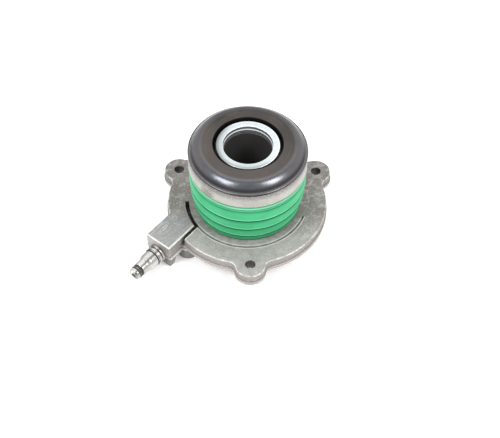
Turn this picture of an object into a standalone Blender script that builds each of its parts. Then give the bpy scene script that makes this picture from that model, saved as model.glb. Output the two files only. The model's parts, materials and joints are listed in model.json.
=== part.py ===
"""Concentric clutch slave cylinder with its release bearing.

A die-cast flange carries an annular hydraulic cylinder around a steel guide sleeve.
Fluid enters through a plug-in nipple in the side block and pushes a ring-shaped piston up.
The piston carries a release bearing, and the bearing's dark contact ring presses on the clutch.
A preload spring and a ribbed rubber boot stand between the flange and the bearing carrier.

Metres, +Z up. The part stands on its hub, and its bore axis is vertical.
"""
import math

import bmesh
import bpy
from mathutils import Matrix

# Overall placing: the origin is the middle of the part's footprint, at the level it stands on
AXIS_X = 0.00907
AXIS_Y = 0.00512

# Clearances
SEAT_GAP = 0.0003
RUN_GAP = 0.0003
BALL_GAP = 0.0003
SEAL_GAP = 0.0002

# How far guide solids reach into or past each other, so that no two faces coincide
CORE_SINK = 0.0010
CUT_OVERRUN = 0.0010

# Flange, cast with a parting step round its edge
HUB_DEPTH = 0.0120
FLANGE_THICKNESS = 0.0080
FLANGE_RADIUS = 0.0518
PARTING_HEIGHT = 0.0024
PARTING_STEP = 0.0006
CAST_EDGE = 0.0005
BOLT_CIRCLE_RADIUS = 0.0525
BOLT_HOLE_RADIUS = 0.00335
EAR_RADIUS = 0.0096
EAR_NECK_RADIUS = 0.0050
EAR_ANGLES = (-87.0, 30.0, 150.8)

# Hub under the flange, with its face seal
HUB_WALL_OUTSIDE_CYLINDER = 0.0055
FACE_GROOVE_WIDTH = 0.0026
FACE_GROOVE_DEPTH = 0.0022
FACE_RING_RADIUS = 0.0009

# Guide sleeve, a flanged steel tube round the gearbox shaft
SHAFT_BORE_RADIUS = 0.0152
SLEEVE_WALL = 0.0018
SLEEVE_MOUTH_FLARE = 0.0006
SLEEVE_MOUTH_DEPTH = 0.0020
SLEEVE_HEAD_OVERHANG = 0.0031
SLEEVE_HEAD_THICKNESS = 0.0028
SLEEVE_HEAD_ROUNDING = 0.0012
SLEEVE_FOOT_OVERHANG = 0.0029
SLEEVE_FOOT_THICKNESS = 0.0012
SLEEVE_FOOT_Z = 0.0040
SLEEVE_FOOT_SIDE_GAP = 0.0006
SLEEVE_BELOW_FACE = 0.0014

# Ring seal at the sleeve's foot
SLEEVE_RING_RADIUS = 0.0007
SLEEVE_GLAND_HEIGHT = 0.0016
SLEEVE_GLAND_WIDTH = 0.0020
CHAMBER_FLOOR_SKIN = 0.0009

# Shaft seal pressed into the hub
SHAFT_RADIUS = 0.0124
SHAFT_SEAL_SHEET = 0.0009
SHAFT_SEAL_HEIGHT = 0.0032
SHAFT_SEAL_INSET = 0.0004
SHAFT_LIP_RISE = 0.0024
GARTER_WIRE_RADIUS = 0.0004

# Annular piston and cylinder
STROKE = 0.0140
PISTON_WALL = 0.0047
PISTON_ENGAGED = 0.0085
PISTON_SHOULDER_THICKNESS = 0.0025
PISTON_SHOULDER_OVERHANG = 0.0034
PISTON_SEAL_HEIGHT = 0.0045
PISTON_SEAL_NOTCH = 0.0024
STOP_RING_HEIGHT = 0.0013
CYLINDER_WALL = 0.0032
CYLINDER_CHAMFER = 0.0008
END_CLEARANCE = 0.0007

# Preload spring
SPRING_WIRE_RADIUS = 0.0013
SPRING_SIDE_GAP = 0.0007
SPRING_TURNS = 5.5
SPRING_SEAT_SHEET = 0.0010
SPRING_SEAT_MARGIN = 0.0017

# Rubber boot
BOOT_HEIGHT = 0.0370
BOOT_WALL = 0.0015
BOOT_SPRING_GAP = 0.0009
BOOT_FOLDS = 3
BOOT_FOLD_DEPTH = 0.0022
BOOT_SLIT = 0.0011
BOOT_TOP_COLLAR = 0.0053
BOOT_FOOT_COLLAR = 0.0040
BOOT_INSET_IN_CARRIER = 0.0007
BOOT_BEAD_HEIGHT = 0.0018

# Bearing carrier, the pale band above the boot
CARRIER_WALL = 0.0016
CARRIER_WEB = 0.0016
CARRIER_SKIRT = 0.0024
CARRIER_TOP_GAP = 0.0004
CARRIER_EDGE = 0.0006

# Release bearing
BALL_RADIUS = 0.003572
BALL_COUNT = 18
INNER_SHIELD_SIDE_GAP = 0.0008
INNER_SHIELD_SHEET = 0.0009
INNER_SHIELD_BELOW_FACE = 0.0044
CONTACT_HUB_WALL = 0.00355
CONTACT_PLATE = 0.0040
CONTACT_HUB_BELOW_BALL = 0.0016
CONTACT_FLAT_WIDTH = 0.0079
CONTACT_SHOULDER_DROP = 0.0044
CONTACT_LIP_HEIGHT = 0.0015
CONTACT_LIP_PROUD = 0.0003
CONTACT_LIP_WIDTH = 0.0011
CONTACT_SHOULDER_THICKNESS = 0.0022
RACE_BACK = 0.0023
RACE_FLOOR = 0.0018
RACE_LAND = 0.0006
CONTACT_ANGLE = 45.0
CAGE_SHEET = 0.0011
CAGE_RIM = 0.0009
OUTER_SEAL_HEIGHT = 0.0011

# Inlet block and nipple
BLOCK_ANGLE = -128.0
BLOCK_WIDTH = 0.0187
BLOCK_REACH = 0.0631
BLOCK_ROOT = 0.0195
BLOCK_LEDGE_Z = 0.0090
BLOCK_LEDGE_STEP = 0.0006
BLOCK_FOOT_TAPER = 0.0010
BLOCK_EDGE = 0.0008
PORT_Z = 0.0097
GALLERY_RADIUS = 0.0016
GALLERY_END = 0.0020
SOCKET_RADIUS = 0.0053
SOCKET_DEPTH = 0.0110
LOCATING_BOSS_RADIUS = 0.0065
LOCATING_BOSS_ALONG = 0.0448
LOCATING_BOSS_ACROSS = -0.0132
NIPPLE_BORE_RADIUS = 0.0015
NIPPLE_LENGTH = 0.0241
NIPPLE_COLLAR_RADIUS = 0.0063
NIPPLE_COLLAR_LENGTH = 0.0018
NIPPLE_SECOND_COLLAR_RADIUS = 0.0060
NIPPLE_NECK_RADIUS = 0.0048
NIPPLE_NECK_LENGTH = 0.0007
NIPPLE_BARREL_RADIUS = 0.0055
NIPPLE_BARREL_LENGTH = 0.0056
NIPPLE_TAPER_LENGTH = 0.0022
NIPPLE_STEM_RADIUS = 0.0045
NIPPLE_TIP_RADIUS = 0.0040
NIPPLE_NOSE_LENGTH = 0.0020
NIPPLE_RING_RADIUS = 0.0008
NIPPLE_RING_SPACING = 0.0023
NIPPLE_CLIP_RADIUS = 0.00035

# Slot and groove in the flange's top face
SLOT_RADIUS = 0.0393
SLOT_WIDTH = 0.0022
SLOT_DEPTH = 0.0060
SLOT_START_ANGLE = -177.5
GAP_WIDTH = 0.0024
GROOVE_RADIUS = 0.0388
GROOVE_WIDTH = 0.0009
GROOVE_DEPTH = 0.0008
GROOVE_END_ANGLE = -19.0

# Facets
VISIBLE_SIDES = 36
HIDDEN_SIDES = 24
SMALL_SIDES = 16
OUTLINE_CHORD = 0.0045
BALL_SIDES = 8
BALL_RINGS = 5
POCKET_SIDES = 8
SPRING_STEPS = 16
BOOT_SIDES = 32

# Radial stack, from the shaft outwards
SLEEVE_RADIUS = SHAFT_BORE_RADIUS + SLEEVE_WALL
SLEEVE_HEAD_RADIUS = SLEEVE_RADIUS + SLEEVE_HEAD_OVERHANG
SLEEVE_FOOT_RADIUS = SLEEVE_RADIUS + SLEEVE_FOOT_OVERHANG
PISTON_BORE_RADIUS = SLEEVE_RADIUS + RUN_GAP
PISTON_RADIUS = PISTON_BORE_RADIUS + PISTON_WALL
CYLINDER_RADIUS = PISTON_RADIUS + RUN_GAP
CYLINDER_OUTER_RADIUS = CYLINDER_RADIUS + CYLINDER_WALL
HUB_RADIUS = CYLINDER_OUTER_RADIUS + HUB_WALL_OUTSIDE_CYLINDER
SPRING_RADIUS = CYLINDER_OUTER_RADIUS + SPRING_SIDE_GAP + SPRING_WIRE_RADIUS
SPRING_OUTER_RADIUS = SPRING_RADIUS + SPRING_WIRE_RADIUS
BOOT_FOOT_RADIUS = SPRING_OUTER_RADIUS + BOOT_SPRING_GAP + BOOT_WALL + BOOT_FOLD_DEPTH
INNER_SHIELD_BORE_RADIUS = SLEEVE_HEAD_RADIUS + INNER_SHIELD_SIDE_GAP
INNER_SHIELD_RADIUS = INNER_SHIELD_BORE_RADIUS + INNER_SHIELD_SHEET
PISTON_NOSE_RADIUS = INNER_SHIELD_BORE_RADIUS - SEAT_GAP
CONTACT_BORE_RADIUS = INNER_SHIELD_RADIUS + RUN_GAP
CONTACT_HUB_RADIUS = CONTACT_BORE_RADIUS + CONTACT_HUB_WALL
GROOVE_BALL_RADIUS = BALL_RADIUS + BALL_GAP
BALL_PITCH_RADIUS = CONTACT_HUB_RADIUS + GROOVE_BALL_RADIUS
POCKET_CORNER_RADIUS = GROOVE_BALL_RADIUS / math.cos(math.pi / POCKET_SIDES)
RACE_RADIUS = BALL_PITCH_RADIUS + GROOVE_BALL_RADIUS + RACE_BACK
CARRIER_INNER_RADIUS = RACE_RADIUS + SEAT_GAP
CARRIER_RADIUS = CARRIER_INNER_RADIUS + CARRIER_WALL
CONTACT_LIP_RADIUS = CARRIER_RADIUS + CONTACT_LIP_PROUD
BOOT_TOP_RADIUS = CARRIER_RADIUS - BOOT_INSET_IN_CARRIER

# Heights, from the standing level up
FLANGE_TOP_Z = HUB_DEPTH + FLANGE_THICKNESS
SLEEVE_FOOT_TOP_Z = SLEEVE_FOOT_Z + SLEEVE_FOOT_THICKNESS
SLEEVE_GLAND_Z = SLEEVE_FOOT_TOP_Z + SEAT_GAP
CHAMBER_FLOOR_Z = SLEEVE_GLAND_Z + SLEEVE_GLAND_HEIGHT + CHAMBER_FLOOR_SKIN
BOOT_FOOT_Z = FLANGE_TOP_Z + SEAT_GAP
BOOT_TOP_Z = BOOT_FOOT_Z + BOOT_HEIGHT
CARRIER_FOOT_Z = BOOT_TOP_Z + SEAT_GAP
WEB_Z = CARRIER_FOOT_Z + CARRIER_SKIRT
WEB_TOP_Z = WEB_Z + CARRIER_WEB
RACE_Z = WEB_TOP_Z + SEAT_GAP
BALL_Z = RACE_Z + RACE_FLOOR + GROOVE_BALL_RADIUS
FACE_Z = BALL_Z + GROOVE_BALL_RADIUS + CONTACT_PLATE
CONTACT_SHOULDER_Z = FACE_Z - CONTACT_SHOULDER_DROP
LIP_TOP_Z = CONTACT_SHOULDER_Z - CONTACT_LIP_WIDTH
LIP_FOOT_Z = LIP_TOP_Z - CONTACT_LIP_HEIGHT
CARRIER_TOP_Z = LIP_FOOT_Z - CARRIER_TOP_GAP
SLEEVE_TOP_Z = FACE_Z - SLEEVE_BELOW_FACE
SLEEVE_HEAD_Z = SLEEVE_TOP_Z - SLEEVE_HEAD_THICKNESS
STOP_RING_TOP_Z = SLEEVE_HEAD_Z - SEAT_GAP
STOP_RING_Z = STOP_RING_TOP_Z - STOP_RING_HEIGHT
PISTON_TOP_Z = STOP_RING_Z - SEAT_GAP
PISTON_SHOULDER_TOP_Z = WEB_Z - SEAT_GAP
PISTON_SHOULDER_Z = PISTON_SHOULDER_TOP_Z - PISTON_SHOULDER_THICKNESS
CYLINDER_TOP_Z = PISTON_SHOULDER_Z - STROKE - END_CLEARANCE
PISTON_FOOT_Z = CYLINDER_TOP_Z - PISTON_ENGAGED
SPRING_FOOT_Z = BOOT_FOOT_Z + SPRING_SEAT_SHEET + SEAT_GAP
SPRING_TOP_Z = PISTON_SHOULDER_TOP_Z - SPRING_SEAT_SHEET - SEAT_GAP

# The block's centre line is tangent to the cylinder wall, so its gallery opens into the chamber
PORT_ACROSS = -CYLINDER_RADIUS
BLOCK_RIGHT = PORT_ACROSS + BLOCK_WIDTH / 2


def clear_scene():
    for item in list(bpy.data.objects):
        bpy.data.objects.remove(item, do_unlink=True)


def new_collection(name):
    group = bpy.data.collections.new(name)
    bpy.context.scene.collection.children.link(group)
    return group


clear_scene()
PARTS = new_collection("clutch_slave_cylinder")
GUIDES = new_collection("construction")


# Materials
def finish(name, colour, roughness, metallic):
    material = bpy.data.materials.new(name)
    material.use_nodes = True
    shader = material.node_tree.nodes["Principled BSDF"]
    shader.inputs["Base Color"].default_value = (*colour, 1.0)
    shader.inputs["Roughness"].default_value = roughness
    shader.inputs["Metallic"].default_value = metallic
    material.diffuse_color = (*colour, 1.0)
    return material


CAST_ALUMINIUM = finish("cast_aluminium", (0.42, 0.42, 0.40), 0.45, 0.85)
PLATED_STEEL = finish("plated_steel", (0.80, 0.82, 0.82), 0.25, 1.0)
BEARING_STEEL = finish("bearing_steel", (0.17, 0.16, 0.16), 0.30, 0.9)
BALL_STEEL = finish("ball_steel", (0.70, 0.70, 0.72), 0.15, 1.0)
CARRIER_SHEET = finish("carrier_sheet", (0.68, 0.67, 0.64), 0.40, 0.6)
SPRING_STEEL = finish("spring_steel", (0.30, 0.30, 0.32), 0.35, 0.9)
BOOT_RUBBER = finish("boot_rubber", (0.08, 0.62, 0.29), 0.45, 0.0)
BLACK_RUBBER = finish("black_rubber", (0.02, 0.02, 0.02), 0.60, 0.0)
PISTON_PLASTIC = finish("piston_plastic", (0.10, 0.10, 0.11), 0.50, 0.0)
CAGE_PLASTIC = finish("cage_plastic", (0.45, 0.38, 0.22), 0.50, 0.0)


# Placing helpers
def add_empty(name, location, parent=None):
    empty = bpy.data.objects.new(name, None)
    empty.location = location
    empty.parent = parent
    PARTS.objects.link(empty)
    return empty


AXIS = add_empty("bore_axis", (AXIS_X, AXIS_Y, 0.0))
TRAVEL = add_empty("travel_slide", (0.0, 0.0, 0.0), AXIS)
SPIN = add_empty("bearing_spin_axis", (0.0, 0.0, BALL_Z), TRAVEL)
PORT = add_empty("port_axis", (0.0, 0.0, 0.0), AXIS)


def block_point(along, across):
    """A point of the block's own frame, given along it and across it, in the bore's frame."""
    turn = math.radians(BLOCK_ANGLE)
    x = along * math.cos(turn) - across * math.sin(turn)
    y = along * math.sin(turn) + across * math.cos(turn)
    return x, y


PORT.location = (*block_point(BLOCK_REACH, PORT_ACROSS), PORT_Z)
PORT.rotation_euler = (0.0, math.pi / 2, math.radians(BLOCK_ANGLE))


def place(item, collection, parent, material=None):
    collection.objects.link(item)
    item.parent = parent
    if material is not None:
        item.data.materials.clear()
        item.data.materials.append(material)
    return item


def adopt(name, parent, material=None, guide=False):
    """Takes the primitive that was just added into the part, or into the guides."""
    item = bpy.context.active_object
    for group in list(item.users_collection):
        group.objects.unlink(item)
    item.name = name
    place(item, GUIDES if guide else PARTS, parent, material)
    if guide:
        make_guide(item)
    return item


def make_guide(item):
    item.hide_render = True
    item.display_type = "WIRE"


def smooth(item, degrees=35.0):
    item.data.shade_smooth()
    item.data.set_sharp_from_angle(angle=math.radians(degrees))


# Shape helpers
def down_the_outside(profile):
    """Orders a closed (radius, height) profile so that its outer side runs down."""
    area = sum(a[0] * b[1] - b[0] * a[1] for a, b in zip(profile, profile[1:] + profile[:1]))
    return profile[::-1] if area > 0 else profile


def turned(name, profile, sides, material, parent, guide=False):
    """A ring turned round its parent's Z axis from a closed (radius, height) profile."""
    points = down_the_outside(profile)
    mesh = bpy.data.meshes.new(name)
    count = len(points)
    edges = [(i, (i + 1) % count) for i in range(count)]
    mesh.from_pydata([(r, 0.0, z) for r, z in points], edges, [])
    item = bpy.data.objects.new(name, mesh)
    place(item, GUIDES if guide else PARTS, parent, material)
    screw = item.modifiers.new("turn", "SCREW")
    screw.steps = sides
    screw.render_steps = sides
    screw.merge_threshold = 0.00001
    screw.use_smooth_shade = True
    if guide:
        make_guide(item)
    return item


def arc(centre, radius, start, end, steps):
    """Points on an arc, with its angles in degrees."""
    angles = [math.radians(start + (end - start) * i / steps) for i in range(steps + 1)]
    return [(centre[0] + radius * math.cos(a), centre[1] + radius * math.sin(a)) for a in angles]


def chord_steps(radius, start, end):
    return max(3, round(math.radians(abs(end - start)) * radius / OUTLINE_CHORD))


def plate(name, outlines, low, high, parent):
    """A guide solid: flat outlines, the first one outside and the others holes, with a thickness."""
    curve = bpy.data.curves.new(name, "CURVE")
    curve.dimensions = "2D"
    curve.fill_mode = "BOTH"
    curve.extrude = (high - low) / 2
    for outline in outlines:
        spline = curve.splines.new("POLY")
        spline.points.add(len(outline) - 1)
        for point, (x, y) in zip(spline.points, outline):
            point.co = (x, y, 0.0, 1.0)
        spline.use_cyclic_u = True
    flat = bpy.data.objects.new(name + "_outline", curve)
    place(flat, GUIDES, parent)
    flat.location.z = (low + high) / 2
    bpy.context.view_layer.update()
    evaluated = flat.evaluated_get(bpy.context.evaluated_depsgraph_get())
    mesh = bpy.data.meshes.new_from_object(evaluated)
    edit = bmesh.new()
    edit.from_mesh(mesh)
    bmesh.ops.remove_doubles(edit, verts=edit.verts, dist=0.000001)
    edit.to_mesh(mesh)
    edit.free()
    solid = bpy.data.objects.new(name, mesh)
    GUIDES.objects.link(solid)
    solid.matrix_world = flat.matrix_world.copy()
    bpy.data.objects.remove(flat)
    make_guide(solid)
    return solid


def bevel_edges(item, width, segments=1):
    bevel = item.modifiers.new("edges", "BEVEL")
    bevel.width = width
    bevel.segments = segments
    bevel.limit_method = "ANGLE"
    bevel.angle_limit = math.radians(50.0)
    return item


def boolean(item, tool, operation):
    step = item.modifiers.new(operation.lower() + "_" + tool.name, "BOOLEAN")
    step.operation = operation
    step.solver = "EXACT"
    step.object = tool
    return step


def rod(name, radius, low, high, parent, location=(0.0, 0.0), sides=SMALL_SIDES):
    """A guide cylinder along its parent's Z axis."""
    bpy.ops.mesh.primitive_cylinder_add(vertices=sides, radius=radius, depth=high - low)
    item = adopt(name, parent, guide=True)
    item.location = (*location, (low + high) / 2)
    return item


def box(name, along, across, height, parent):
    """A guide box in the block's frame, from its three (low, high) pairs."""
    bpy.ops.mesh.primitive_cube_add(size=1.0)
    item = adopt(name, parent, guide=True)
    spans = (along, across, height)
    item.data.transform(scale_matrix([high - low for low, high in spans]))
    middle = [(low + high) / 2 for low, high in spans]
    item.location = (*block_point(middle[0], middle[1]), middle[2])
    item.rotation_euler.z = math.radians(BLOCK_ANGLE)
    return item


def scale_matrix(sizes):
    return Matrix.Diagonal((*sizes, 1.0))


# Flange outline: a disc joined to three bolt ears by concave necks
def polar(radius, degrees):
    angle = math.radians(degrees)
    return radius * math.cos(angle), radius * math.sin(angle)


def corner_angle(near, other, opposite):
    """The angle in degrees between two sides of a triangle, by the law of cosines."""
    return math.degrees(math.acos((near ** 2 + other ** 2 - opposite ** 2) / (2 * near * other)))


def flange_outline(grow):
    """Disc, necks and ears as one closed outline, grown outwards by a step."""
    disc = FLANGE_RADIUS + grow
    ear = EAR_RADIUS + grow
    neck = EAR_NECK_RADIUS - grow
    spread = corner_angle(disc + neck, BOLT_CIRCLE_RADIUS, ear + neck)
    turn = 180.0 - corner_angle(ear + neck, BOLT_CIRCLE_RADIUS, disc + neck)
    neck_steps = chord_steps(neck, spread, turn)
    ear_steps = chord_steps(ear, -turn, turn)
    points = []
    for index, angle in enumerate(EAR_ANGLES):
        following = EAR_ANGLES[(index + 1) % len(EAR_ANGLES)]
        if following < angle:
            following += 360.0
        centre = polar(BOLT_CIRCLE_RADIUS, angle)
        before = polar(disc + neck, angle - spread)
        after = polar(disc + neck, angle + spread)
        start = angle + spread
        end = following - spread
        points += arc(before, neck, angle - spread + 180.0, angle - turn + 180.0, neck_steps)[:-1]
        points += arc(centre, ear, angle - turn, angle + turn, ear_steps)[:-1]
        points += arc(after, neck, angle + turn + 180.0, angle + spread + 180.0, neck_steps)[:-1]
        points += arc((0.0, 0.0), disc, start, end, chord_steps(disc, start, end))[:-1]
    return points


def ring_sector(radius, width, start, end):
    """A flat band along an arc round the bore."""
    steps = chord_steps(radius, start, end)
    outer = arc((0.0, 0.0), radius + width / 2, start, end, steps)
    inner = arc((0.0, 0.0), radius - width / 2, start, end, steps)
    return outer + inner[::-1]


# Housing: turned core, flange plates, inlet block and boss joined, then drilled and slotted
SEAL_RECESS_RADIUS = SLEEVE_FOOT_RADIUS + SLEEVE_FOOT_SIDE_GAP
GLAND_RADIUS = PISTON_BORE_RADIUS + SLEEVE_GLAND_WIDTH
FACE_GROOVE_RADIUS = (SEAL_RECESS_RADIUS + HUB_RADIUS) / 2
CORE_SHOULDER_Z = FLANGE_TOP_Z - CORE_SINK
SLOT_CORNER_ANGLE = BLOCK_ANGLE + math.degrees(math.asin((BLOCK_RIGHT + GAP_WIDTH / 2) / SLOT_RADIUS))


def housing_core_profile():
    return [
        (SEAL_RECESS_RADIUS, 0.0),
        (HUB_RADIUS, 0.0),
        (HUB_RADIUS, CORE_SHOULDER_Z),
        (CYLINDER_OUTER_RADIUS, CORE_SHOULDER_Z),
        (CYLINDER_OUTER_RADIUS, CYLINDER_TOP_Z - CYLINDER_CHAMFER),
        (CYLINDER_OUTER_RADIUS - CYLINDER_CHAMFER, CYLINDER_TOP_Z),
        (CYLINDER_RADIUS + CYLINDER_CHAMFER, CYLINDER_TOP_Z),
        (CYLINDER_RADIUS, CYLINDER_TOP_Z - CYLINDER_CHAMFER),
        (CYLINDER_RADIUS, CHAMBER_FLOOR_Z),
        (PISTON_BORE_RADIUS, CHAMBER_FLOOR_Z),
        (PISTON_BORE_RADIUS, SLEEVE_GLAND_Z + SLEEVE_GLAND_HEIGHT),
        (GLAND_RADIUS, SLEEVE_GLAND_Z + SLEEVE_GLAND_HEIGHT),
        (GLAND_RADIUS, SLEEVE_GLAND_Z),
        (SEAL_RECESS_RADIUS, SLEEVE_GLAND_Z),
    ]


def flange_plates():
    hole = arc((0.0, 0.0), CYLINDER_OUTER_RADIUS - CORE_SINK, 0.0, 360.0, VISIBLE_SIDES)[:-1]
    parting_z = HUB_DEPTH + PARTING_HEIGHT
    lower = plate("flange_rim", [flange_outline(PARTING_STEP), hole], HUB_DEPTH, parting_z, AXIS)
    upper = plate("flange_face", [flange_outline(0.0), hole], parting_z - CORE_SINK, FLANGE_TOP_Z, AXIS)
    bevel_edges(upper, CAST_EDGE)
    return [lower, upper]


def block_gap():
    """A straight gap beside the block; it reaches a little under the block, which is added later."""
    start = (SLOT_RADIUS - SLOT_WIDTH / 2) * math.cos(math.radians(SLOT_CORNER_ANGLE - BLOCK_ANGLE))
    end = FLANGE_RADIUS + PARTING_STEP + CUT_OVERRUN
    return box("block_gap", (start, end), (BLOCK_RIGHT - CUT_OVERRUN, BLOCK_RIGHT + GAP_WIDTH),
               (HUB_DEPTH - CUT_OVERRUN, FLANGE_TOP_Z + CUT_OVERRUN), AXIS)


def inlet_block():
    sides = (PORT_ACROSS - BLOCK_WIDTH / 2, PORT_ACROSS + BLOCK_WIDTH / 2)
    upper = box("block_upper", (BLOCK_ROOT, BLOCK_REACH), sides,
                (BLOCK_LEDGE_Z - CORE_SINK, FLANGE_TOP_Z), AXIS)
    wide = (sides[0] - BLOCK_LEDGE_STEP, sides[1] + BLOCK_LEDGE_STEP)
    lower = box("block_lower", (BLOCK_ROOT, BLOCK_REACH - BLOCK_LEDGE_STEP), wide,
                (0.0, BLOCK_LEDGE_Z), AXIS)
    for vertex in lower.data.vertices:
        if vertex.co.z < 0.0:
            vertex.co.y -= math.copysign(BLOCK_FOOT_TAPER, vertex.co.y)
            vertex.co.x -= max(0.0, math.copysign(BLOCK_FOOT_TAPER, vertex.co.x))
    bevel_edges(upper, BLOCK_EDGE)
    bevel_edges(lower, BLOCK_EDGE / 2)
    return [lower, upper]


def locating_boss():
    place_on_flange = block_point(LOCATING_BOSS_ALONG, LOCATING_BOSS_ACROSS)
    return rod("locating_boss", LOCATING_BOSS_RADIUS, 0.0, HUB_DEPTH + CORE_SINK, AXIS, place_on_flange)


def housing_cuts():
    cuts = []
    over = FLANGE_TOP_Z + CUT_OVERRUN
    for angle in EAR_ANGLES:
        centre = polar(BOLT_CIRCLE_RADIUS, angle)
        cuts.append(rod("bolt_hole", BOLT_HOLE_RADIUS, HUB_DEPTH - CUT_OVERRUN, over, AXIS, centre))
    slot = ring_sector(SLOT_RADIUS, SLOT_WIDTH, SLOT_START_ANGLE, SLOT_CORNER_ANGLE)
    cuts.append(plate("slot", [slot], FLANGE_TOP_Z - SLOT_DEPTH, over, AXIS))
    groove = ring_sector(GROOVE_RADIUS, GROOVE_WIDTH, SLOT_CORNER_ANGLE, GROOVE_END_ANGLE)
    cuts.append(plate("face_groove", [groove], FLANGE_TOP_Z - GROOVE_DEPTH, over, AXIS))
    gallery_low = GALLERY_END - BLOCK_REACH
    cuts.append(rod("gallery", GALLERY_RADIUS, gallery_low, CUT_OVERRUN - SOCKET_DEPTH, PORT, sides=12))
    cuts.append(rod("nipple_socket", SOCKET_RADIUS, -SOCKET_DEPTH, CUT_OVERRUN, PORT))
    inner = FACE_GROOVE_RADIUS - FACE_GROOVE_WIDTH / 2
    outer = FACE_GROOVE_RADIUS + FACE_GROOVE_WIDTH / 2
    cuts.append(turned("hub_groove", [
        (outer, FACE_GROOVE_DEPTH), (outer, -CUT_OVERRUN), (inner, -CUT_OVERRUN), (inner, FACE_GROOVE_DEPTH),
    ], HIDDEN_SIDES, CAST_ALUMINIUM, AXIS, guide=True))
    return cuts


def make_housing():
    housing = turned("housing", housing_core_profile(), VISIBLE_SIDES, CAST_ALUMINIUM, AXIS)
    for solid in flange_plates():
        boolean(housing, solid, "UNION")
    boolean(housing, block_gap(), "DIFFERENCE")
    for solid in inlet_block() + [locating_boss()]:
        boolean(housing, solid, "UNION")
    for cut in housing_cuts():
        boolean(housing, cut, "DIFFERENCE")
    return housing


# Guide sleeve and its seals
def guide_sleeve_profile():
    mouth = SHAFT_BORE_RADIUS + SLEEVE_MOUTH_FLARE
    rounding = SLEEVE_HEAD_ROUNDING
    return [
        (mouth, SLEEVE_TOP_Z),
        (SLEEVE_HEAD_RADIUS - rounding * 1.3, SLEEVE_TOP_Z),
        (SLEEVE_HEAD_RADIUS - rounding * 0.4, SLEEVE_TOP_Z - rounding * 0.3),
        (SLEEVE_HEAD_RADIUS, SLEEVE_TOP_Z - rounding),
        (SLEEVE_HEAD_RADIUS, SLEEVE_HEAD_Z + rounding * 0.4),
        (SLEEVE_HEAD_RADIUS - rounding * 0.4, SLEEVE_HEAD_Z),
        (SLEEVE_RADIUS, SLEEVE_HEAD_Z),
        (SLEEVE_RADIUS, SLEEVE_FOOT_TOP_Z),
        (SLEEVE_FOOT_RADIUS, SLEEVE_FOOT_TOP_Z),
        (SLEEVE_FOOT_RADIUS, SLEEVE_FOOT_Z),
        (SHAFT_BORE_RADIUS, SLEEVE_FOOT_Z),
        (SHAFT_BORE_RADIUS, SLEEVE_TOP_Z - SLEEVE_MOUTH_DEPTH),
        (mouth, SLEEVE_TOP_Z - SLEEVE_MOUTH_DEPTH),
    ]


def ring(name, radius, wire, height, parent, material, sides=HIDDEN_SIDES):
    """A round-section ring, such as an O-ring."""
    bpy.ops.mesh.primitive_torus_add(
        major_segments=sides, minor_segments=5, major_radius=radius, minor_radius=wire)
    item = adopt(name, parent, material)
    item.location.z = height
    smooth(item, 80.0)
    return item


def shaft_seal():
    foot = SHAFT_SEAL_INSET
    top = SHAFT_SEAL_INSET + SHAFT_SEAL_HEIGHT
    case_radius = SEAL_RECESS_RADIUS - SEAT_GAP
    web = top - SHAFT_SEAL_SHEET
    case_inner = case_radius - SHAFT_SEAL_SHEET
    turned("shaft_seal_case", [
        (case_radius, top), (case_radius, foot), (case_inner, foot), (case_inner, web),
        (SHAFT_BORE_RADIUS, web), (SHAFT_BORE_RADIUS, top),
    ], HIDDEN_SIDES, PLATED_STEEL, AXIS)
    sleeve_side = SHAFT_BORE_RADIUS - SEAT_GAP
    lip_top = top + SHAFT_LIP_RISE
    waist = (SHAFT_RADIUS + sleeve_side) / 2
    garter_radius = sleeve_side - GARTER_WIRE_RADIUS
    turned("shaft_seal_lip", [
        (case_inner - SEAT_GAP, web - SEAT_GAP),
        (case_inner - SEAT_GAP, foot + SHAFT_SEAL_SHEET),
        (SHAFT_RADIUS + SHAFT_SEAL_SHEET, foot),
        (SHAFT_RADIUS, foot + SHAFT_SEAL_SHEET),
        (waist - SHAFT_SEAL_SHEET / 2, top),
        (SHAFT_RADIUS, lip_top - SHAFT_SEAL_SHEET),
        (waist - SHAFT_SEAL_SHEET / 2, lip_top),
        (waist, top),
        (sleeve_side, web - SEAT_GAP),
    ], HIDDEN_SIDES, BLACK_RUBBER, AXIS)
    ring("shaft_seal_spring", garter_radius, GARTER_WIRE_RADIUS,
         lip_top - 2 * GARTER_WIRE_RADIUS, AXIS, SPRING_STEEL)


def make_sleeve_and_seals():
    turned("guide_sleeve", guide_sleeve_profile(), VISIBLE_SIDES, PLATED_STEEL, AXIS)
    gland_middle = SLEEVE_GLAND_Z + SLEEVE_GLAND_HEIGHT / 2
    ring("sleeve_o_ring", (PISTON_BORE_RADIUS + GLAND_RADIUS) / 2, SLEEVE_RING_RADIUS,
         gland_middle, AXIS, BLACK_RUBBER)
    ring("hub_face_o_ring", FACE_GROOVE_RADIUS, FACE_RING_RADIUS,
         FACE_GROOVE_DEPTH - FACE_RING_RADIUS - SEAT_GAP, AXIS, BLACK_RUBBER)
    shaft_seal()
    turned("stop_ring", [
        (SLEEVE_HEAD_RADIUS - SEAT_GAP, STOP_RING_TOP_Z), (SLEEVE_HEAD_RADIUS - SEAT_GAP, STOP_RING_Z),
        (PISTON_BORE_RADIUS, STOP_RING_Z), (PISTON_BORE_RADIUS, STOP_RING_TOP_Z),
    ], HIDDEN_SIDES, PISTON_PLASTIC, AXIS)


# Piston with its lip seal
PISTON_SHOULDER_RADIUS = PISTON_RADIUS + PISTON_SHOULDER_OVERHANG


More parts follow.
